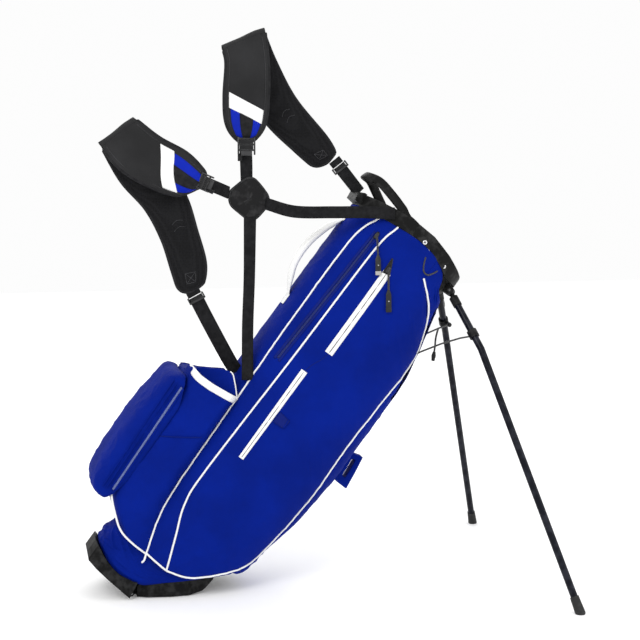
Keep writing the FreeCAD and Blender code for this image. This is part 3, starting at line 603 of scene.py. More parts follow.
def panel_grid(first, last, low, high, rows, cols):
    """Wall points between two seams, given as angles of u, and two edges, given as u of v."""
    r, c = np.meshgrid(np.linspace(0, 1, rows), np.linspace(0, 1, cols), indexing="ij")
    r, c = r.ravel(), c.ravel()
    u = 70 + 850 * r
    for _ in range(SOLVE_STEPS):
        s0, s1 = np.interp(first(u), TURN, ALONG), np.interp(last(u), TURN, ALONG)
        a = np.interp(s0 + (s1 - s0) * c, ALONG, TURN)
        v, y = ring_point(a, u)
        u = 0.5 * u + 0.5 * (low(v) + (high(v) - low(v)) * r)
    return np.stack([v, y, u], 1)


def panel(name, grid, shape, side=1.0):
    """Stuffed cloth panel with its own thickness; side -1 gives the other side's panel."""
    p = grid * [1.0, side, 1.0]
    obj = make_object(name, world(lifted(p, 0.0)), grid_faces(*shape), "blue")
    face_out(obj, lean_direction(wall_normal(p)))
    return thicken(obj, SKIN_THICK)


def face_out(obj, outward):
    """Turns a sheet's faces to the side that the directions at its points show."""
    mesh = obj.data
    total = sum(poly.normal.dot(Vector(outward[poly.vertices[0]])) for poly in mesh.polygons)
    if total < 0:
        mesh.flip_normals()


def seam_angle(at):
    """Angle of a seam on the right side, as a function of u."""
    return lambda u: ring_angle(at(u), u, -1)


def front_boundary(u):
    """v of the seam between a side pocket and the front panel; straight above its top corner."""
    return np.where(u > FRONT_SEAM[0][1], FRONT_SEAM[0][0], front_seam_at(u))


def body_panels():
    """The stuffed walls between the seams; the left pockets mirror the right ones."""
    rear, middle, front = seam_angle(rear_at), seam_angle(mid_at), seam_angle(front_boundary)
    for name, first, last, low, shape in (
            ("apparel_pocket", rear, middle, lower_at, (190, 12)),
            ("side_pocket", middle, front, lambda v: 70 + 0 * v, (230, 44))):
        grid = panel_grid(first, last, low, upper_at, *shape)
        for side, node_name in ((1, name + "_right"), (-1, name + "_left")):
            settle(panel(node_name + "_cloth", grid, shape, side), "blue_fabric", node_name)
    for name, first, turns, shape in (("spine_panel", rear, 1, (190, 40)),
                                      ("front_panel", front, 2, (170, 56))):
        grid = panel_grid(first, lambda u: 2 * turns * math.pi - first(u), lower_at, upper_at, *shape)
        made = panel(name + "_cloth", grid, shape)
        if name == "front_panel":
            cut_link_slots(made, grid)
        settle(made, "blue_fabric", name)


SLOT_Y, SLOT_U = (46, 76), (628, 845)
HEAD_Y, HEAD_U = (34, 60), 832
SLOTS_FROM_V = 95         # only the front has slots


def cut_link_slots(obj, grid, grow=0):
    """The two long slots that the leg links work in, and the room for the leg heads above them."""
    mesh = bmesh.new()
    mesh.from_mesh(obj.data)
    mesh.verts.ensure_lookup_table()
    inside = set()
    for k, (v, y, u) in enumerate(grid):
        slot = (SLOT_Y[0] - grow < abs(y) < SLOT_Y[1] + grow
                and SLOT_U[0] - 8 * grow < u < SLOT_U[1] + 8 * grow)
        head = HEAD_Y[0] < abs(y) < HEAD_Y[1] and HEAD_U < u
        if v > SLOTS_FROM_V and (slot or head):
            inside.add(k)
    doomed = [f for f in mesh.faces if all(x.index in inside for x in f.verts)]
    bmesh.ops.delete(mesh, geom=doomed, context="FACES")
    mesh.to_mesh(obj.data)
    mesh.free()


ROD_CHANNEL_V = 130.0     # the lining stays behind the push rods
LINING_GAP = 7.5          # between the body's outside and its lining


def lining():
    """Dark inner sleeve of the bag, seen down the mouth and through the slots."""
    rows, cols = 70, 72
    low, high = 150, 922
    u, a = np.meshgrid(np.linspace(low, high, rows), np.arange(cols) * 2 * math.pi / cols, indexing="ij")
    u = u.ravel()
    a = np.interp(a.ravel() / (2 * math.pi) * ALONG[TURN_STEPS], ALONG, TURN)
    v, y = ring_point(a, u)
    top = upper_at(v) - 6
    p = np.stack([v, y, low + (u - low) * (top - low) / (high - low)], 1)
    wrinkle = 1.2 * noise_at(p, (40, 40, 110), 4.0)
    p -= wall_normal(p) * (LINING_GAP + wrinkle)[:, None]
    p[:, 0] = np.minimum(p[:, 0], ROD_CHANNEL_V)
    floor = world([[(SPINE_V + 150) / 2, 0, low]])
    faces = grid_faces(rows, cols, wrap=True) + [(rows * cols, (j + 1) % cols, j) for j in range(cols)]
    obj = make_object("inner_lining", np.vstack([world(p), floor]), faces, "lining")
    cut_link_slots(obj, p, 6)
    settle(thicken(obj, 0.8, 0.0), "divider_fabric")


# ---- seams, zips and tabs ----


def seam_tube(points, side):
    """Piping cord on a side wall along (v, u) points."""
    line = smooth_line(points)
    return tube("p", world(on_side(line[:, 0], line[:, 1], side, 0.6)), PIPING_R, "white")


REAR_POCKET_HEM = [(-66, 74), (-98, 77), (-127, 82), (-146, 90), (-162, 102), (-184, 121), (-203, 141),
                   (-214, 156), (-223, 172)]


def piping():
    """White cords in the seams of each side, with the hook at their low end and the rear pocket's hem."""
    hook = [(-66, 74), (-62, 62), (-63, 55)]
    top_corner = (65, 873)
    for side, word in ((-1, "right"), (1, "left")):
        runs = [seam_tube(points, side)
                for points in (REAR_SEAM, MID_SEAM, [top_corner] + FRONT_SEAM[1:], LOWER_EDGE[1:3])]
        tail = smooth_line([(v, side * (side_y(v, 74) + 1.0), u) for v, u in hook], 2.0)
        hem = smooth_line([(v, side * (rear_flank(v, u) + 0.5), u) for v, u in REAR_POCKET_HEM])
        runs += [tube("p", world(line), PIPING_R, "white") for line in (tail, hem)]
        settle(join("piping_" + word + "_cord", runs), "white_trim", "piping_" + word)


def strap_grid(left, right, thick, name, material, cols=7, crown=0.4):
    """Flat strip between two edge lines in metres: closed, with rounded long edges."""
    middle, over = (left + right) / 2, right - left
    normal = unit(np.cross(over, unit(np.gradient(middle, axis=0))))
    length = steps_along(middle)
    loop = [(c, 1.0) for c in np.linspace(0, 1, cols)] + [(c, -1.0) for c in np.linspace(1, 0, cols)]
    verts, uvs = [], []
    for i in range(len(left)):
        for c, sign in loop:
            off = 2 * c - 1
            swell = thick / 2000.0 * (1 - abs(off) ** 8 * 0.75) + crown / 1000.0 * (1 - off ** 2)
            verts.append(left[i] + over[i] * c + normal[i] * sign * swell)
            uvs.append((c, length[i]))
    obj = make_object(name, verts, closed_faces(len(left), len(loop)), material)
    layer = obj.data.uv_layers.new(name="UVMap")
    for corner in obj.data.loops:
        layer.data[corner.index].uv = uvs[corner.vertex_index]
    return obj


def side_strip(points, width, thick, material, side=-1, lift=0.5, cols=7):
    """Tape sewn on the side wall along (v, u) points; width may change along it."""
    line = smooth_line(points, 3.0)
    widths = np.interp(np.linspace(0, 1, len(line)), np.linspace(0, 1, np.size(width)), np.atleast_1d(width))
    ahead = unit(np.gradient(line, axis=0))
    over = np.stack([-ahead[:, 1], ahead[:, 0]], 1) * widths[:, None] / 2
    left, right = (world(on_side(p[:, 0], p[:, 1], side, lift)) for p in (line + over, line - over))
    return strap_grid(left, right, thick, "strip", material, cols, crown=0.1)


def zip_set(side, word):
    """One side's zips: white tape with its groove and garage, blue coil between two lips, lower tape."""
    pieces = [side_strip([(-9, 629), (-9, 730), (-9, 836)], 18, 1.6, "white", side),
              side_strip([(-9, 632), (-9, 730), (-9, 834)], 1.6, 1.2, "thread", side, 1.1, 3),
              side_strip([(-9, 832), (-13, 850), (-17, 866)], (17, 11, 3), 2.2, "black_cloth", side, 1.2),
              side_strip([(-71, 888), (-77, 730), (-84, 560)], 5, 1.4, "blue_coil", side, 0.2, 5)]
    for lip in (-4.6, 4.6):
        line = [(-71 + lip, 890), (-77 + lip, 730), (-84 + lip, 556)]
        pieces.append(side_strip(line, 4.5, 1.4, "dark_blue", side, 0.9, 3))
    if side < 0:
        curl = [(-28, 571), (-22, 592), (-13, 612), (-9, 630)]
        pieces += [side_strip([(-28, 349), (-28, 460), (-28, 571)], (11, 12.5, 14), 1.6, "white", side),
                   side_strip([(-28, 352), (-28, 460), (-28, 568)], 1.4, 1.2, "thread", side, 1.1, 3),
                   side_strip(curl, 1.6, 0.9, "dark_blue", side, 0.1, 3)]
    settle(join("zips_" + word + "_sewn", pieces), "white_trim", "zips_" + word)


def tabs():
    """Small square loop on the side, and the slotted tab on the front for the folded legs."""
    small = side_strip([(-19, 461), (-6, 460), (7, 459)], (25, 23, 21), 3.0, "dark_blue", lift=1.8)
    fold = side_strip([(4, 470), (5, 459), (5, 449)], 2.2, 2.0, "blue", lift=3.4, cols=3)
    outer = [(182, 489), (200, 488.5), (218, 493), (224, 455), (229, 416), (201, 417), (180, 420), (181, 455)]
    slot = [(200, 477), (204, 478), (208, 478), (210, 456), (212, 435), (208, 434), (204, 434), (202, 456)]
    front_tab = framed_plate("front_tab", outer, slot, 14, "blue")
    settle(join("sewn_tabs", [small, fold, front_tab]), "blue_fabric", "fabric_tabs")


def framed_plate(name, outer, inner, half, material):
    """Thick plate with a hole: both outlines in (v, u) with the same number of points."""
    count = len(outer)
    verts = [(v, y, u) for y in (-half, half) for v, u in outer + inner]
    faces = []
    for k in range(count):
        j = (k + 1) % count
        for base, turn in ((0, 1), (2 * count, -1)):
            faces.append((base + k, base + j, base + count + j, base + count + k)[::turn])
        faces.append((k, 2 * count + k, 2 * count + j, j))
        faces.append((count + k, count + j, 3 * count + j, 3 * count + k))
    obj = make_object(name, world(verts), faces, material)
    soften(obj, 2.0, 3, 50)
    return applied(obj)


def applied(obj):
    """Same object with its modifiers made part of its mesh."""
    graph = bpy.context.evaluated_depsgraph_get()
    mesh = bpy.data.meshes.new_from_object(obj.evaluated_get(graph))
    obj.modifiers.clear()
    obj.data = mesh
    return obj


# ---- pockets on the spine ----
REAR_HALF = 104.0
REAR_POWER = 4.2
FLANK_V = -125.0          # where the sides end and the rounded back begins
ROUND_SHARE = 0.72        # share of the section, from its middle, that is rounded
BACK_DEPTH = 92.0         # from there to the rounded back
TUCK_POWER = 2.4          # how late the sides tuck in towards the seam
rear_back_at = pchip([70, 80, 101, 139, 160, 200, 300, 436, 460, 480],
                     [-113, -118, -160, -203, -214, -217, -217, -217, -190, -150])


def rear_root(u):
    """v where the rear pocket's side meets the body, just behind the seam."""
    return float(rear_at(u)) - 1.0


def rear_flank(v, u=110.0):
    """Half-width of the rear pocket's side at v: it tucks in behind the seam on the body."""
    if v < FLANK_V:
        return REAR_HALF * (1 - min(0.98, (FLANK_V - v) / BACK_DEPTH) ** REAR_POWER) ** (1 / REAR_POWER)
    root = rear_root(u)
    low = float(side_y(root, u)) - 1.0
    k = (v - FLANK_V) / max(8.0, root - FLANK_V)
    return REAR_HALF + (low - REAR_HALF) * min(1.0, max(0.0, k)) ** TUCK_POWER


def pocket_section(u, back, t):
    """Plan section of the rear pocket: t from -1, right root, round the back to 1, left root."""
    side = -1 if t < 0 else 1
    if abs(t) > ROUND_SHARE:
        v = FLANK_V + (rear_root(u) - FLANK_V) * (abs(t) - ROUND_SHARE) / (1 - ROUND_SHARE)
        return v, side * rear_flank(v, u)
    a = abs(t) / ROUND_SHARE * math.pi / 2
    depth = max(1.0, FLANK_V - back)
    return (FLANK_V - depth * rounded(max(0.0, math.cos(a)), REAR_POWER),
            side * REAR_HALF * rounded(math.sin(a), REAR_POWER))

def flat_of(rows):
    """All the points of a grid, row after row."""
    return np.array([p for row in rows for p in row], float)


def cloth_sheet(name, grid, bulge, seed, material="blue", thick=SKIN_THICK, centre=(-150, 0, 300)):
    """Grid of bag-frame points made into cloth, with soft folds along its own normals."""
    shape = len(grid), len(grid[0])
    p = flat_of(grid)
    down, across = (np.gradient(p.reshape(*shape, 3), axis=k).reshape(-1, 3) for k in (0, 1))
    n = np.cross(down, across)
    n /= np.maximum(np.linalg.norm(n, axis=1), 1e-9)[:, None]
    if ((p - centre) * n).sum(1).mean() < 0:
        n = -n
    fold = (1.5 * creases(p, 0.9, 26, 120, seed) + 0.9 * creases(p, -0.6, 18, 80, seed + 3)
            + 1.6 * noise_at(p, (60, 70, 90), seed + 7) - 0.6)
    obj = make_object(name, world(p + n * (bulge * fold[:, None])), grid_faces(*shape), material)
    face_out(obj, lean_direction(n))
    return applied(thicken(obj, thick))


def rear_grid(t0, t1, low, high, rows, cols):
    """Rows of the rear pocket's wall from section place t0 to t1, between two edges given as u of v."""
    out = []
    for r in np.linspace(0, 1, rows):
        row = []
        for t in np.linspace(t0, t1, cols):
            u = 100 + 340 * r
            for _ in range(8):
                v, y = pocket_section(u, float(rear_back_at(u)), t)
                u = 0.5 * u + 0.5 * (low(v) + (high(v) - low(v)) * r)
            row.append((v, y, u))
        out.append(row)
    return out


hem_at = pchip([v for v, u in REAR_POCKET_HEM], [u for v, u in REAR_POCKET_HEM])
rim_at = pchip([-222, -206, -190, -168, -149, -109, -100], [446, 441.5, 438.5, 438.5, 440, 444, 445])
RIM_WIDE = 14.0


def bottle_sleeve():
    """Near half of the rear pocket, open at its top with a wide white rim."""
    wall = rear_grid(-1.0, -0.055, hem_at, rim_at, 90, 60)
    inner = [[(v + (2.0 if v < -130 else 0), y * 0.965, u) for v, y, u in row] for row in wall[30:]]
    sheets = [cloth_sheet("sleeve", wall, 0.9, 4.4),
              cloth_sheet("sleeve_lining", inner, 0.4, 6.0, "lining", 0.8)]
    settle(join("bottle_sleeve_cloth", sheets), "blue_fabric", "bottle_pocket")
    settle(rim_band(wall[-1]), "white_trim", "bottle_pocket_band")
    seam = [(-194, 286), (-180, 296), (-160, 309), (-140, 322), (-118, 337)]
    line = smooth_line([(v, -rear_flank(v) - 1.2, u) for v, u in seam], 3.0)
    settle(tube("sleeve_side_seam", world(line), 0.8, "dark_blue", around=8), "blue_fabric")


def rim_band(outline):
    """White elastic binding folded over the sleeve's top edge."""
    p = np.array(outline, float)
    n = np.gradient(p, axis=0)
    n = unit(np.stack([n[:, 1], -n[:, 0], 0 * n[:, 0]], 1))
    if (n * (p - [-150, 0, 430])).sum() < 0:
        n = -n
    left = world(p + n * 1.1 + [0, 0, 1.5])
    right = world(p + n * 1.3 - [0, 0, RIM_WIDE])
    return strap_grid(left, right, 2.6, "bottle_rim_binding", "white", 9, crown=0.5)


def rear_box():
    """Far half of the rear pocket with its sloping lid, and the flap behind the bottle's mouth."""
    top = pchip([-222, -218, -173, -142, -122, -110, -98], [420, 424, 441, 459, 470, 466, 450])
    low = 240
    partition = [[(v, -6.0 + 1.5 * math.sin(v / 17.0 + r * 4), low + (float(top(v)) - 2 - low) * r)
                  for v in np.linspace(-214, -112, 26)] for r in np.linspace(0, 1, 40)]
    lid = [[(v, y, float(top(v)) - 1.2) for y in np.linspace(-6, rear_flank(v) - 1.0, 26)]
           for v in np.linspace(-217, -112, 34)]
    sheets = [cloth_sheet("box", rear_grid(-0.06, 1.0, hem_at, top, 100, 66), 0.9, 2.2),
              cloth_sheet("partition", partition, 0.3, 1.0, thick=1.4),
              cloth_sheet("lid", lid, 0.8, 5.5, thick=1.6, centre=(-150, 40, 300))]
    settle(join("rear_pocket_cloth", sheets + near_flap()), "blue_fabric", "rear_pocket")


def near_flap():
    """Blue cloth standing behind the bottle pocket's mouth on the near side, with a painted highlight along
    the front of its top edge.
    """
    edge = smooth_line([(-204, 446), (-178, 462), (-146, 480), (-126, 467), (-108, 449)])
    low = 400
    rows = [[(v, -58 - 30 * float(ease((v + 200) / 80.0)) + 1.2 * math.sin(v / 9.0 + 2 * r),
              low + (top - low) * r) for v, top in edge] for r in np.linspace(0, 1, 22)]
    sheet = cloth_sheet("flap", rows, 0.4, 3.0, thick=1.5, centre=(-60, 0, 440))
    # Painted highlight: a thin white tube along the front of the flap's top edge, standing for light caught
    # on the edge, not a sewn trim.
    highlight_edge = [q for q in rows[-1] if q[0] > -147] + [(-101, -88, 441)]
    return [sheet, tube("trim", world(highlight_edge), 1.4, "white", around=8)]


BALL_HALF = 100.0
BALL_POWER = 4.0
BALL_END = 34.0           # depth within which the ends narrow
BALL_END_POWER = 0.22
BALL_END_SAG = 5.0
BALL_PROFILE = [(-212, 127), (-228, 121), (-238, 125), (-246, 137), (-252, 163), (-257, 223), (-258, 284),
                (-256, 330), (-252, 368), (-249, 392), (-243, 408), (-232, 417), (-220, 420)]
ball_root = pchip([120, 140, 178, 352, 395, 421], [-208, -197, -190, -192, -206, -217])


def ball_point(v, u, t):
    """Point on the ball pocket for its profile point and t, a quarter turn either way of the middle."""
    root = float(ball_root(u))
    depth = max(0.5, root - v)
    s = math.sin(t)
    round_end = min(1.0, depth / BALL_END) ** BALL_END_POWER
    y = BALL_HALF * round_end * rounded(s, BALL_POWER)
    return (root - depth * rounded(max(0.0, math.cos(t)), BALL_POWER), y,
            u - BALL_END_SAG * (1 - abs(s)) * (1 - round_end))


def ball_pocket():
    """Stuffed outer pocket, with a crowned back face that rounds into its sides."""
    turns = np.linspace(-math.pi / 2, math.pi / 2, 75)
    rows = [[ball_point(v, u, t) for t in turns] for v, u in smooth_line(BALL_PROFILE)]
    face = cloth_sheet("ball_pocket_cloth", rows, 1.0, 7.7, centre=(-215, 0, 290))
    settle(face, "blue_fabric", "ball_pocket")


def flank_row(shift, lift, low, high):
    """Line on the ball pocket's right side, shift millimetres from its coil, from u low to high."""
    row = []
    for v, u in smooth_line(BALL_PROFILE):
        root = float(ball_root(u))
        place = coil_at(u) + shift
        out, depth = root - place, root - v
        if low <= u <= high and depth > out + 1.0:
            t = math.acos(max(0.0, out / depth) ** (BALL_POWER / 2))
            row.append((place, -ball_point(v, u, t)[1] - lift, u))
    return world(row)


def ball_zip():
    """Pale coil between two blue tapes, with a doubled seam behind it."""
    pieces = []
    for place, wide, lift, material in ((0.0, 4.8, 2.6, "coil"), (-4.3, 3.4, 3.2, "blue"),
                                        (4.3, 3.4, 3.2, "blue")):
        edges = [flank_row(place + edge * wide / 2, lift, 146, 398) for edge in (-1, 1)]
        pieces.append(strap_grid(*edges, 1.2, "coil", material, 5, crown=0.2))
    settle(join("ball_pocket_zip_coil", pieces), "blue_zip", "ball_pocket_zip")
    for k, behind in enumerate((13.0, 21.0)):
        seam = flank_row(-behind, 2.0, 140, 404)
        settle(tube("ball_pocket_seam_%d" % k, seam, 1.1, "blue", around=8), "blue_fabric")


def coil_at(u):
    """v of the ball pocket's zip, which slants from (-203, 143) to (-212, 376)."""
    return -203.0 - 9.0 * (u - 143.0) / 233.0


# ---- skirt ----
SKIRT_RINGS = np.array([(-30, -150, 40, 86), (20, -150, 70, 87), (70, -142, 112, 92), (130, -126, 142, 98),
                        (230, -120, 160, 106), (330, -120, 172, 110)], float)
skirt_back, skirt_front, skirt_half = (pchip(SKIRT_RINGS[:, 0], SKIRT_RINGS[:, k]) for k in (1, 2, 3))
skirt_low = pchip([-158, -146, -120, -85, -50, -36, 12, 47, 68, 97, 112],
                  [29, 25, 13, 6, 8, 11, 47, 78, 98, 126, 137])
skirt_high = pchip([v for v, u in LOWER_EDGE], [u + 3 for v, u in LOWER_EDGE])


def skirt_point(a, r):
    """Point of the cuff at angle a, r of the way from its low edge to its high one."""
    u = 60.0
    for _ in range(SOLVE_STEPS):
        back, front = skirt_back(u), skirt_front(u)
        v = (back + front) / 2 + (front - back) / 2 * rounded(math.cos(a), SECTION_POWER)
        y = skirt_half(u) * rounded(math.sin(a), SECTION_POWER)
        low, high = float(skirt_low(v)), float(skirt_high(v))
        u = 0.5 * u + 0.5 * (low + (max(high, low + 14) - low) * r)
    return v, y, u


def skirt():
    """Gathered cuff from the body's lower edge to the base and the foot plate."""
    rows, cols = 34, 150
    places = np.linspace(0, 1, rows)
    p = flat_of([[skirt_point(2 * math.pi * k / cols, r) for k in range(cols)] for r in places])
    r = np.repeat(places, cols)
    n = unit((p - [-20, 0, 0]) * [1, 1, 0])
    middle = np.sin(math.pi * r)
    fold = 4.2 * creases(p, 1.25, 17, 70, 3.0) + 2.6 * creases(p, 1.75, 13, 60, 6.6) - 2.0
    tuck = -4.0 * (1 - ease(r / 0.12)) - 3.0 * ease((r - 0.86) / 0.14)
    p = p + n * (fold * middle + tuck + 1.5 * middle)[:, None]
    obj = make_object("skirt_cloth", world(p), grid_faces(rows, cols, wrap=True), "blue")
    face_out(obj, lean_direction(n))
    thicken(obj, 1.4)
    made = obj.modifiers.new("round", "SUBSURF")
    made.levels = made.render_levels = 1
    obj = applied(obj)
    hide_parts("skirt")
    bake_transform(obj)


# ---- CAD pieces that keep their shape ----


def dress_frame():
    """Materials and worn edges for the CAD pieces that keep their shape; bevels are in millimetres."""
    for material, bevel, names in (
            ("plastic", 0.0, "collar"), ("divider", 1.2, "collar_divider"), ("stay", 0.0, "body_stays"),
            ("base", 3.0, "base_rear"), ("base", 2.5, "foot_tray"), ("steel", 0.0, "foot_hinge_pin"),
            ("rubber", 0.5, "foot_pads tie_toggle"), ("paint", 0.0, "leg_tube_right leg_tube_left"),
            ("plastic", 0.6, "leg_head_right leg_head_left leg_hinge_housing"),
            ("plastic", 0.5, "leg_clip_right leg_clip_left"), ("rubber", 0.6, "leg_foot_right leg_foot_left"),
            ("rod", 0.0, "leg_hinge_pins actuator_rod leg_link_right leg_link_left")):
        for name in names.split():
            obj = NODES[name]
            obj.data.materials.clear()
            obj.data.materials.append(M[material])
            if bevel:
                soften(obj, bevel, 2, 40)


# ---- dividers ----
def dividers():
    """Full-length cloth walls inside, a little slack between their seams."""
    across = [[(8 + 2.2 * math.sin(u / 60.0 + y / 26.0), y, u) for y in np.linspace(-92, 92, 30)]
              for u in np.linspace(150, 921, 70)]
    sheet = cloth_sheet("across", across, 0.5, 1.3, "divider", 1.4, (300, 0, 500))
    settle(sheet, "divider_fabric", "divider_lateral")
    behind = [[(v, 2.0 * math.sin(u / 55.0 + v / 30.0), u) for v in np.linspace(-112, 6, 22)]
              for u in np.linspace(152, 920, 70)]
    low = 215
    depths = np.linspace(10, 110, 20)
    tops = np.interp(depths, [10, 60, 100, 110], [920, 918, 902, 872])
    ahead = [[(v, 2.0 * math.sin(r * 13 + v / 28.0), low + (top - low) * r) for v, top in zip(depths, tops)]
             for r in np.linspace(0, 1, 70)]
    pieces = [cloth_sheet(name, rows, 0.4, seed, "divider", 1.4, (0, 300, 500))
              for name, rows, seed in (("behind", behind, 2.0), ("ahead", ahead, 5.0))]
    settle(join("lengthwise_divider_cloth", pieces), "divider_fabric", "divider_lengthwise")


# ---- camera, lights and floor ----
def aim(obj, place_at, target):
    """Puts a camera or light in the scene, looking at a target."""
    obj.location = place_at
    obj.rotation_euler = (Vector(target) - obj.location).to_track_quat("-Z", "Y").to_euler()
    return put(obj)


def camera():
    """The photograph's viewing angle."""
    bpy.context.scene.view_settings.view_transform = "Standard"
    data = bpy.data.cameras.new("camera")
    data.lens = 84.26
    data.sensor_width = 36.0
    made = bpy.data.objects.new("camera", data)
    bpy.context.scene.camera = aim(made, (-0.306, -3.109, 0.964), (0.338, 0, 0.563))


def studio():
    """Three soft lights, a white world and a pale floor that glows a little."""
    for name, place_at, size, power in (("key", (-1.6, -2.6, 3.0), 1.8, 62),
                                        ("fill", (2.8, -1.6, 1.8), 2.4, 18),
                                        ("back", (0.6, 2.8, 2.2), 2.2, 30)):
        data = bpy.data.lights.new(name, "AREA")
        data.size = size
        data.energy = power
        aim(bpy.data.objects.new(name, data), place_at, (0.35, 0, 0.55))
    white = (1.0, 1.0, 1.0, 1.0)
    sky = bpy.data.worlds.new("studio")
    sky.use_nodes = True
    shade = sky.node_tree.nodes["Background"]
    shade.inputs["Color"].default_value = white
    shade.inputs["Strength"].default_value = 0.98
    bpy.context.scene.world = sky
    M["floor"], surface = shader("pale_floor", (0.93, 0.93, 0.93), 0.85)
    add_bump(surface, noise_height(place_vector(surface), 40.0), 0.05, 0.001)
    surface.inputs["Emission Color"].default_value = white
    surface.inputs["Emission Strength"].default_value = 0.09
    size = 6.0
    floor = make_object("floor", [(-size, -size, 0), (size, -size, 0), (size, size, 0), (-size, size, 0)],
                        [(0, 1, 2, 3)], "floor", False)
    floor.location.z = -0.0004


# ---- shoulder straps, in the standing frame in millimetres ----
PADS = {
    "shoulder_pad_left_front": [((-50, -72, 985), (-122, -72, 932)), ((-6, -84, 950), (-92, -84, 893)),
                                ((47, -84, 920), (-44, -84, 860)), ((81, -74, 887), (21, -74, 834)),
                                ((94, -60, 866), (64, -60, 838))],
    "shoulder_pad_left_rear": [((-50, -58, 985), (-122, -58, 932)), ((7, -50, 897), (-83, -50, 862)),
                               ((49, -42, 831), (-33, -42, 804)), ((71, -40, 761), (-1, -40, 742)),
                               ((89, -38, 692), (19, -38, 678)), ((84, -38, 640), (34, -38, 628))],
    "shoulder_pad_top_front": [((222, -4, 1166), (134, -4, 1130)), ((226, -20, 1099), (137, -20, 1100)),
                               ((225, -25, 1035), (132, -25, 1035)), ((219, -25, 982), (135, -25, 982)),
                               ((199, -21, 938), (155, -21, 938))],
    "shoulder_pad_top_rear": [((222, 10, 1166), (134, 10, 1130)), ((249, 22, 1107), (172, 22, 1068)),
                              ((292, 30, 1031), (228, 30, 982)), ((360, 35, 951), (293, 35, 920)),
                              ((384, 36, 911), (338, 36, 882))],
}
WEBS = {
    "webbing_hub_to_pads": [[((88, -63, 872), (78, -63, 848)), ((112, -54, 862), (104, -54, 838)),
                             ((140, -44, 850), (135, -44, 825))],
                            [((189, -21, 942), (163, -21, 942)), ((189, -30, 902), (163, -30, 902)),
                             ((188, -37, 862), (163, -37, 862))]],
    "webbing_hub_to_bag": [[((194, -44, 787), (168, -44, 787)), ((189, -56, 665), (165, -56, 665)),
                            ((183, -68, 560), (159, -68, 560)), ((180, -82, 452), (156, -79, 452))],
                           [((216, -44, 827), (212, -44, 802)), ((273, -66, 811), (268, -66, 786)),
                            ((350, -90, 810), (346, -90, 785)), ((410, -101, 810), (409, -101, 785)),
                            ((474, -106, 807), (474, -108, 782))]],
    "webbing_pads_to_bag": [[((73, -38, 644), (47, -38, 630)), ((108, -36, 574), (82, -36, 560)),
                             ((152, -32, 491), (126, -32, 477)), ((166, -30, 470), (142, -30, 457))],
                            [((387, 35, 911), (365, 35, 894)), ((438, 19, 842), (419, 19, 824))]],
}
PAD_HALF_THICK = 6.0
BORDER = 9.0              # width of the flat edge outside the sewn line
PAD_ROWS = 78
PAD_CUP = 3.5             # how far the sides curl back
TIP_POWER = 2.6           # how square the tip is


def pad_surface(stations, tip_start):
    """Point on a pad for s along, c across and sign of the face; lift is in millimetres."""
    a, b = (sampled(edge, PAD_ROWS) for edge in zip(*stations))
    middle, half = (a + b) / 2, (b - a) / 2
    normal = unit(np.cross(half, np.gradient(middle, axis=0)))
    normal *= -np.sign(normal[:, 1:2])
    places = np.linspace(0, 1, PAD_ROWS)
    length = steps_along(middle)[-1]

    def point(s, c, sign=1, lift=0.0):
        """Its border is thin, with a groove where it is sewn, and its middle is padded."""
        m, h, n = (row_at(s, places, table) for table in (middle, half, normal))
        x = 2 * c - 1
        t = max(0.0, (s - tip_start) / (1 - tip_start))
        narrow = max(0.0, 1 - t ** TIP_POWER) ** (1 / TIP_POWER)
        edge = min((1 - abs(x)) * np.linalg.norm(h) * narrow, (1 - s) * length)
        rise = 0.42 + 0.25 * float(ease(edge / BORDER)) + 0.33 * float(ease((edge - BORDER - 1) / 14.0))
        groove = 0.16 * math.exp(-((edge - BORDER) / 1.3) ** 2)
        q = m + h * x * narrow
        lumps = noise.noise(Vector(q / 34.0) + Vector((1.0, 0, sign * 3.0)))
        pillow = 0.88 * lumps * float(ease(edge / 20.0))
        high = PAD_HALF_THICK * (rise - groove) + pillow + lift
        return q + n * (sign * high - PAD_CUP * x * x)
    return point


def pad_mesh(name, surface, face_material, back_material):
    """Closed padded strap: a front face and a back face that meet at its edge."""
    cols = 31
    cs = 0.5 - 0.5 * np.cos(np.linspace(0, math.pi, cols))
    ss = np.concatenate([np.linspace(0, 0.84, 66), 0.84 + 0.16 * np.sin(np.linspace(0, math.pi / 2, 31))[1:]])
    verts = []
    for s in ss:
        verts += [surface(s, c, 1) for c in cs] + [surface(s, c, -1) for c in cs[::-1]]
    around = 2 * cols
    faces = grid_faces(len(ss), around, wrap=True) + [tuple(range(around))]
    obj = make_object(name, np.array(verts) / 1000.0, faces, face_material)
    obj.data.materials.append(M[back_material])
    for poly in obj.data.polygons:
        if poly.vertices[0] % around >= cols:
            poly.material_index = 1
    return obj


def edge_binding(surface):
    """Tape bound round the pad's edge, from one top corner round the tip to the other."""
    def middle(s, c):
        return (surface(s, c) + surface(s, c, -1)) / 2

    near = [middle(s, 0.0) for s in np.linspace(0, 0.985, 90)]
    far = [middle(s, 1.0) for s in np.linspace(0.985, 0, 90)]
    route = smooth_line(np.vstack([near[::3], [middle(1.0, 0.5)], far[::3]]), 3.0) / 1000.0
    return tube("b", route, 3.4, "binding", around=12)


def stitch_row(surface, points, gap=3.2, size=0.35):
    """Short stitches along (s, c) points on a pad's front face."""
    path = np.array([surface(min(s, 0.995), c, 1, 0.25) for s, c in sampled(points, 400)]) / 1000.0
    return stitches(path, gap, gap * 0.35, gap, size)


def stitches(path, gap, half, tail, size):
    """Threads along a path in metres, as one mesh: one each gap millimetres, size thick, 2 half long."""
    steps = steps_along(path) * 1000.0
    verts, faces = [], []
    for start in np.arange(0, steps[-1] - tail, gap):
        run = row_at(start + half * np.arange(3), steps, path)
        _, side, up = frames_along(run)
        base = len(verts)
        for i in range(3):
            for k in range(4):
                a = k * math.pi / 2
                verts.append(run[i] + size / 1000.0 * (side[i] * math.cos(a) + up[i] * math.sin(a)))
        faces += [tuple(base + k for k in face) for face in closed_faces(3, 4)]
    return make_object("q", verts, faces, "thread", False)


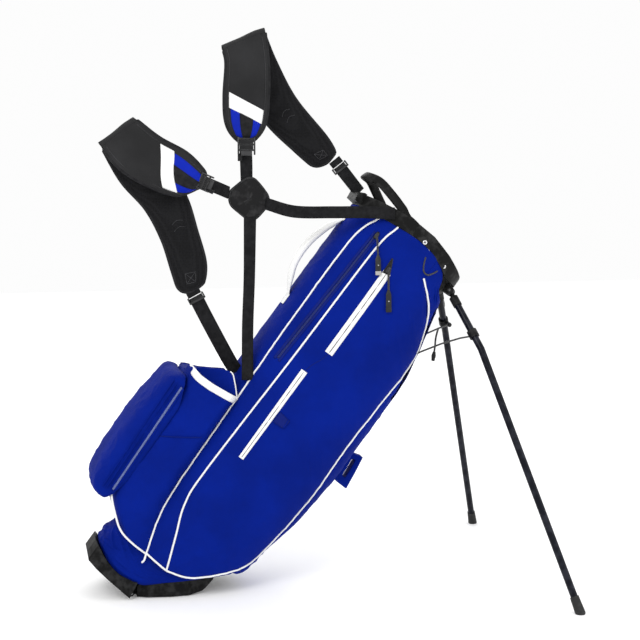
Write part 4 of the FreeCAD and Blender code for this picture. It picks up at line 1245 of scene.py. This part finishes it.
def patch(surface, low, high, edge, material, lift, rows=16, cols=24):
    """Cloth sewn on a pad's face between two slanted lines, given as s of c, and edge from its sides."""
    grid = [[surface(low(c) + (high(c) - low(c)) * r, c, 1, lift) for c in np.linspace(edge, 1 - edge, cols)]
            for r in np.linspace(0, 1, rows)]
    obj = make_object("w", flat_of(grid) / 1000.0, grid_faces(rows, cols), material)
    face_out(obj, np.tile([0.0, -1.0, 0.0], (rows * cols, 1)))
    return applied(thicken(obj, 0.9))


def top_fold(front, rear):
    """Padded fold that joins a front pad to its rear pad over the shoulder's top."""
    rows, cols = 26, 16
    verts = []
    for c in np.linspace(-0.005, 1.005, rows):
        a, b = front(0.0, min(max(c, 0), 1), 1), rear(0.0, min(max(c, 0), 1), -1)
        ahead = unit(front(0.0, c, 1) - front(0.03, c, 1))
        swell = 10.5 + 1.0 * math.sin(c * 7.0)
        for t in math.pi * np.arange(cols) / (cols - 1):
            verts.append((a + b) / 2 + (a - b) / 2 * math.cos(t) + ahead * swell * abs(math.sin(t)) ** 0.9)
    verts = np.array(verts) / 1000.0
    obj = make_object("f", verts, grid_faces(rows, cols), "pad")
    centre = verts.reshape(rows, cols, 3)[:, [0, -1]].mean(1).repeat(cols, axis=0)
    face_out(obj, verts - centre)
    return applied(thicken(obj, 4.5))


def shoulder_pads():
    """Two folded straps: each front pad with its white stripe, blue tip and centre webbing, each rear
    pad with its stitched box."""
    for word, start, slant, wide in (("left", 0.25, 0.42, 0.125), ("top", 0.655, -0.21, 0.14)):
        front_name, rear_name = "shoulder_pad_" + word + "_front", "shoulder_pad_" + word + "_rear"
        front, rear = pad_surface(PADS[front_name], 0.80), pad_surface(PADS[rear_name], 0.90)

        def stripe_low(c):
            return start + slant * c

        def stripe_high(c):
            return start + slant * c + wide

        def tip_end(c):
            return 0.955 - 0.10 * (2 * c - 1) ** 2

        sewn = [edge_binding(front), patch(front, stripe_low, stripe_high, 0.105, "white", 0.5),
                patch(front, stripe_high, tip_end, 0.14, "bright_blue", 0.4, rows=20),
                patch(front, stripe_high, lambda c: 0.97, 0.34, "webbing", 1.3, rows=24, cols=8)]
        sewn += [stitch_row(front, [(0.03, c), (0.3, c), (0.6, c), (0.82, c * 0.98 + 0.01)])
                 for c in (0.085, 0.915)]
        finish_pad(front_name, front, "pad", "mesh", sewn, "pad_fabric")
        sewn = [edge_binding(rear), top_fold(front, rear)]
        sewn += [stitch_row(rear, [(s, 0.30), (s - 0.008, 0.45), (s + 0.012, 0.62)], 2.6)
                 for s in (0.52, 0.56)]
        a, b, c, d = (0.84, 0.34), (0.84, 0.66), (0.925, 0.66), (0.925, 0.34)
        for ends in ((a, b), (b, c), (c, d), (d, a), (a, c), (b, d)):
            line = np.array([ends[0], np.mean(ends, axis=0), ends[1]])
            sewn.append(stitch_row(rear, line, 2.4, 0.4))
        finish_pad(rear_name, rear, "mesh", "pad", sewn, "pad_mesh")


def finish_pad(name, surface, face_material, back_material, sewn, slot):
    """The pad's body joined with what is sewn on it, as one padded piece."""
    main = join(name + "_padded", [pad_mesh(name + "_padded", surface, face_material, back_material)] + sewn)
    settle(main, slot, name)


def webbings():
    """Woven straps between the hub, the pads and the bag."""
    for name, runs in WEBS.items():
        pieces = [strap_grid(*(sampled(edge, 60) / 1000.0 for edge in zip(*stations)), 2.0, "w", "webbing", 9,
                             crown=0.15) for stations in runs]
        settle(join(name + "_strap", pieces), "webbing", name)


HUB = [(136, 832), (139, 842), (150, 852), (166, 864), (179, 870), (191, 868), (202, 858), (214, 843),
       (221, 832), (223, 820), (219, 808), (207, 793), (195, 782), (184, 778), (173, 782), (158, 794),
       (143, 807), (137, 818)]
HUB_Y = -41.5


def strap_hub():
    """Rounded square yoke: a stiff plate with a raised rim, stitched round its edge."""
    outline = smooth_line(HUB + HUB[:1], 2.5)[:-1]
    middle = outline.mean(0)
    rings = [(0.0, 2.6), (0.5, 2.8), (0.84, 2.5), (0.875, 1.7), (0.91, 2.7), (0.965, 2.5), (1.0, 0.8),
             (1.0, -0.8), (0.965, -2.5), (0.5, -2.6), (0.0, -2.6)]
    verts = [(x / 1000.0, (HUB_Y - level) / 1000.0, z / 1000.0) for scale, level in rings
             for x, z in middle + (outline - middle) * max(scale, 0.002)]
    plate = make_object("hub", verts, closed_faces(len(rings), len(outline)), "hub")
    seam = middle + (outline - middle) * 0.94
    path = np.array([(x, HUB_Y - 2.9, z) for x, z in np.vstack([seam, seam[:1]])]) / 1000.0
    settle(join("strap_hub_plate", [plate, stitches(path, 3.4, 1.1, 2, 0.35)]), "pad_fabric", "strap_hub")


def oriented_bar(start, axes, place, size, material, bevel):
    """Bevelled bar: place is its middle from start, place and size along the axes, in millimetres."""
    verts = [(start + (place + np.array(corner) * size) @ axes) / 1000.0
             for corner in product((-0.5, 0.5), repeat=3)]
    faces = [(0, 1, 3, 2), (4, 6, 7, 5), (0, 4, 5, 1), (2, 3, 7, 6), (0, 2, 6, 4), (1, 5, 7, 3)]
    obj = make_object("bar", verts, faces, material)
    soften(obj, bevel, 3, 50)
    return applied(obj)


def axes_of(start, end, across):
    """Directions along a strap, across it and through it, outwards."""
    ahead = unit(end - start)
    across = unit(across - ahead * across.dot(ahead))
    through = np.cross(ahead, across)
    return np.array([ahead, across, through * -np.sign(through[1])])


LOCKS = (((79, -74.5, 881), (63, -74.5, 851), (105, -64.5, 869), (91, -64.5, 840)),
         ((195, -32, 951), (158, -32, 951), (193, -38, 915), (158, -38, 915)))


def ladder_locks():
    """Buckles at the front pads' tips: rails, bars and a lifting tab, with the strap woven through."""
    pieces = []
    for corners in LOCKS:
        a, b, c, d = np.array(corners, float)
        start, end = (a + b) / 2, (c + d) / 2
        axes = axes_of(start, end, a - b)
        length, wide = np.linalg.norm(end - start), np.linalg.norm(a - b)
        bars = [((length / 2, side * (wide / 2 - 1.6), 0), (length, 3.4, 4.6), "buckle", 1.4)
                for side in (-1, 1)]
        bars += [((length * place + 1.8, 0, 0), (4.0, wide - 2, 3.6), "buckle", 1.3)
                 for place in (0.04, 0.36, 0.68)]
        bars += [((length * place + 1.8, 0, 1.6), (length * 0.24, wide - 9, 2.6), "webbing_plain", 1.2)
                 for place in (0.22, 0.53)]
        bars += [((length * 0.93, 0, 2.0), (10, wide - 14, 2.4), "buckle", 1.1),
                 ((length + 5, 5 - wide / 2, -3.0), (16, 9, 1.8), "webbing_plain", 0.8)]
        pieces += [oriented_bar(start, axes, *bar) for bar in bars]
    settle(join("strap_buckles", pieces), "black_plastic", "strap_ladder_locks")


def slide_bars():
    """Bars that slide along the rear webbings: a dark loop with a pale bar on its upper edge."""
    for word, run, last, along in (("left", WEBS["webbing_pads_to_bag"][0], 2, 12),
                                   ("top", WEBS["webbing_pads_to_bag"][1], 1, 14)):
        first, second = np.array(run[0], float)
        start, end = (first + second) / 2, np.array(run[last], float).mean(0)
        bars = [((along + place, 0, lift), (size, 35, 1.9), "buckle", 0.8)
                for lift in (-2.6, 2.6) for place, size in ((1.5, 3.0), (12.0, 4.0))]
        bars.append(((along + 1.0, 0, 3.3), (1.7, 29, 0.8), "mark", 0.3))
        bars += [((along + 7, side * 16.6, 0), (14, 3.0, 6.8), "buckle", 1.3) for side in (-1, 1)]
        bars.append(((along + 7.5, 0, 2.2), (6.5, 27, 2.0), "webbing_plain", 0.9))
        axes = axes_of(start, end, first - second)
        pieces = [oriented_bar(start, axes, *bar) for bar in bars]
        name = "slide_bar_" + word
        settle(join(name + "_loop", pieces), "black_plastic", name, body="bar_" + word)


# ---- handles and collar details ----
def bar_along(middles, sideways, widths, thicks, material, power=3.2):
    """Moulded bar with a rounded-box section; sideways is its wide way."""
    middles, around = np.asarray(middles, float), 20
    tangent = unit(np.gradient(middles, axis=0))
    side = unit(sideways - tangent * (sideways * tangent).sum(1)[:, None])
    out = np.cross(tangent, side)
    verts = []
    for i in range(len(middles)):
        for k in range(around):
            a = 2 * math.pi * k / around
            x = rounded(math.cos(a), power) * widths[i] / 2
            y = rounded(math.sin(a), power) * thicks[i] / 2
            verts.append(middles[i] + side[i] * x + out[i] * y)
    return make_object("bar", world(verts), closed_faces(len(middles), around), material)


def lift_handle():
    """Smooth hoop that rises from both sides of the collar and leans back over the spine."""
    half = [(-22, -98, 950), (-36, -94, 956), (-56, -88, 963), (-86, -70, 974), (-118, -44, 984),
            (-140, -18, 982)]
    middles = sampled(half + [(v, -y, u) for v, y, u in half[::-1]], 90)
    across = np.abs(np.linspace(-1, 1, 90))
    widths = np.interp(across, [0, 0.3, 0.5, 0.66, 0.76, 1.0], [19, 20, 20, 19, 13, 11])
    thicks = np.interp(across, [0, 0.6, 1.0], [9.0, 8.5, 6.5])
    pieces = [bar_along(middles, np.array([0.35, 0, 0.94]), widths, thicks, "plastic")]
    for side in (-1, 1):
        foot = [(-48, side * 96.0, 952), (-30, side * 97.5, 953), (-12, side * 98.5, 951)]
        pieces.append(bar_along(sampled(foot, 14), np.array([0.1, 0, 1.0]), [16] * 14, [7] * 14, "plastic"))
    settle(join("lift_handle_hoop", pieces), "black_plastic", "lift_handle")


def carry_handle():
    """Padded white strap down the spine, bowed out for a hand, with sewn tabs at its ends."""
    middle = [(-123.5, 0, 884), (-134, 0, 866), (-147, 0, 838), (-158, 0, 791), (-155, 0, 741),
              (-137, 0, 699), (-123.5, 0, 674)]
    places = [0, 0.10, 0.24, 0.5, 0.76, 0.90, 1]
    x = np.linspace(0, 1, 80)
    fat = np.interp(x, places, [3, 4, 13, 15.5, 13, 4, 3])
    wide = np.interp(x, places, [26, 26, 29, 30, 29, 26, 26])
    pieces = [bar_along(sampled(middle, 80), np.array([0, 1.0, 0]), wide, fat, "white", 2.6)]
    for ends in ((876, 900), (658, 682)):
        left, right = (world([(SPINE_V - 4.5, y, u) for u in np.linspace(*ends, 10)]) for y in (-15, 15))
        pieces.append(strap_grid(left, right, 2.4, "tab", "white", 7, crown=0.2))
    settle(join("carry_handle_grip", pieces), "white_trim", "carry_handle")


def disc(centre, outward, profile, material, around=28):
    """Turned shape: profile is (radius, height) along outward, in millimetres, from a centre in metres."""
    outward = np.asarray(outward, float)
    side = unit(np.cross(outward, [0.3, 0.2, 0.9]))
    up = np.cross(outward, side)
    verts = []
    for radius, height in profile:
        for a in 2 * math.pi * np.arange(around) / around:
            spoke = max(radius, 0.01) * (side * math.cos(a) + up * math.sin(a))
            verts.append(centre + (outward * height + spoke) / 1000.0)
    return make_object("disc", verts, closed_faces(len(profile), around), material)


def collar_rivets():
    """Bright rivets with dark hollow centres, two on each side of the collar."""
    head = [(4.9, 0), (5.0, 0.9), (4.6, 1.7), (3.4, 2.2), (2.3, 2.0), (2.0, 1.2), (0.0, 1.1)]
    pieces = []
    for side in (-1, 1):
        for v, u in ((20, 934), (86, 919)):
            centre = world([(v, side * (float(side_y(v, u)) + 3.2), u)])[0]
            pieces.append(disc(centre, (0, side, 0), head, "rivet"))
            pieces.append(disc(centre, (0, side, 0), [(1.9, 0.6), (1.9, 1.35), (0, 1.4)], "plastic"))
    settle(join("collar_rivet_heads", pieces), "rivet_steel", "collar_rivets")


# each pull: v, u of its slider, then how far out it hangs as (distance down, y) past the slider
ZIP_PULLS = {
    "apparel": (-71, 885, [(0, 106.0), (14, 111.6), (26, 113.4), (40, 117.1), (81, 121.0)], "pull_tip"),
    "side": (-11, 842, [(0, 118.4), (20, 119.5), (42, 120.6), (88, 122.6)], "rubber"),
}


def zip_pulls():
    """Slider, doubled cord and rubber tab; it hangs straight down from the slider."""
    plumb = np.array([math.sin(LEAN), 0, -math.cos(LEAN)])
    level = np.array([math.cos(LEAN), 0, math.sin(LEAN)])
    for name, (v, u, hang, tip) in ZIP_PULLS.items():
        top = -float(side_y(v, u)) - 2.0
        slider = bar_along([(v, top - 2.6, u - 8), (v, top - 4.2, u), (v, top - 2.6, u + 8)],
                           np.array([1.0, 0, 0]), [6, 8, 6], [3.4, 5.0, 3.4], "buckle")
        points = np.array([np.array([v, -y, u]) + plumb * down for down, y in hang])
        line = smooth_line(points[:-1], 2.0)
        cords = [tube("cord", world(line + level * shift), 1.0, "cord", around=8) for shift in (-1.1, 1.1)]
        near, reach = points[-2], points[-1] - points[-2]
        x = np.linspace(0, 1, 24)
        wide = np.interp(x, [0, 0.08, 0.2, 0.92, 1.0], [4.5, 7.5, 11.5, 12, 10])
        thick = np.interp(x, [0, 0.2, 0.92, 1.0], [3.4, 3.2, 3.4, 2.4])
        tab = bar_along(near + reach * x[:, None], level, wide, thick, "rubber", 4.0)
        end = near + reach * np.linspace(0.80, 1.0, 6)[:, None]
        cap = bar_along(end, level, [12.4] * 5 + [11], [3.8] * 5 + [3.0], tip, 4.0)
        rivet = world([near + reach * 0.5 + [0, -1.9, 0]])[0]
        pin = disc(rivet, (0, -1, 0), [(1.5, 0), (1.4, 0.5), (0, 0.6)], "steel", 12)
        settle(join("zip_pull_" + name + "_tab", [slider] + cords + [tab, cap, pin]), "pull_rubber",
               "zip_pull_" + name, body="zip_" + name)


# ---- free cords ----
LEG_ELASTIC = np.array([(622, 63, 606), (630, 70, 597), (638, 82, 583), (641, 93, 571),
                        (640, 99, 561)]) / 1000.0
LEG_TIE_CORD = np.array([(633, 110, 524), (628, 108, 510), (625, 106, 497), (624, 104.5, 484),
                         (622, 104, 471)]) / 1000.0
COLLAR_LOOP = [(40, 910.5), (46, 893), (58, 881), (72, 885), (80, 903)]


def body_y(v, u):
    """Half-width of the plain body between its straight sections, as the frame has it."""
    front, half = np.interp(u, BODY[:, 0], BODY[:, 1]), np.interp(u, BODY[:, 0], BODY[:, 2])
    reach = (front - SPINE_V) / 2
    ratio = min(0.999, abs((v - SPINE_V - reach) / reach))
    return half * (1 - ratio ** SECTION_POWER) ** (1 / SECTION_POWER)


def cord_curve(name, points, diameter):
    """One smooth open spline with the route's points, in metres."""
    data = bpy.data.curves.new(name, "CURVE")
    data.dimensions = "3D"
    spline = data.splines.new("NURBS")
    spline.points.add(len(points) - 1)
    for place, p in zip(spline.points, points):
        place.co = (*p, 1.0)
    spline.order_u = 3
    spline.use_endpoint_u = True
    spline.resolution_u = 12
    data.bevel_depth = diameter / 2
    data.bevel_resolution = 4
    data.use_fill_caps = True
    data.materials.append(M["cord"])
    return put(bpy.data.objects.new(name, data))


def cords():
    """The collar's elastic loop, the elastic between the leg's clips and the knotted tie cord below it."""
    loop = world([(v, -body_y(v, u) - 3.6, u) for v, u in COLLAR_LOOP])
    for name, points, length, diameter, body, far, lay, extra in (
            ("elastic_loop", loop, 0.067, 0.0032, "root", "object", "hanging", []),
            ("leg_elastic", LEG_ELASTIC, 0.062, 0.0028, "leg_left", "object", "taut", []),
            ("leg_tie_cord", LEG_TIE_CORD, 0.055, 0.0044, "tie_cord", "tool", "hanging",
             [NODES["tie_toggle"]])):
        cord = cord_curve(name + "_line", points, diameter)
        settle(cord, "cord", name, body=body)


camera()
studio()
dress_frame()
body_panels()
lining()
piping()
zip_set(-1, "right")
zip_set(1, "left")
tabs()
bottle_sleeve()
rear_box()
ball_pocket()
ball_zip()
skirt()
dividers()
shoulder_pads()
webbings()
strap_hub()
ladder_locks()
slide_bars()
lift_handle()
carry_handle()
collar_rivets()
zip_pulls()
cords()
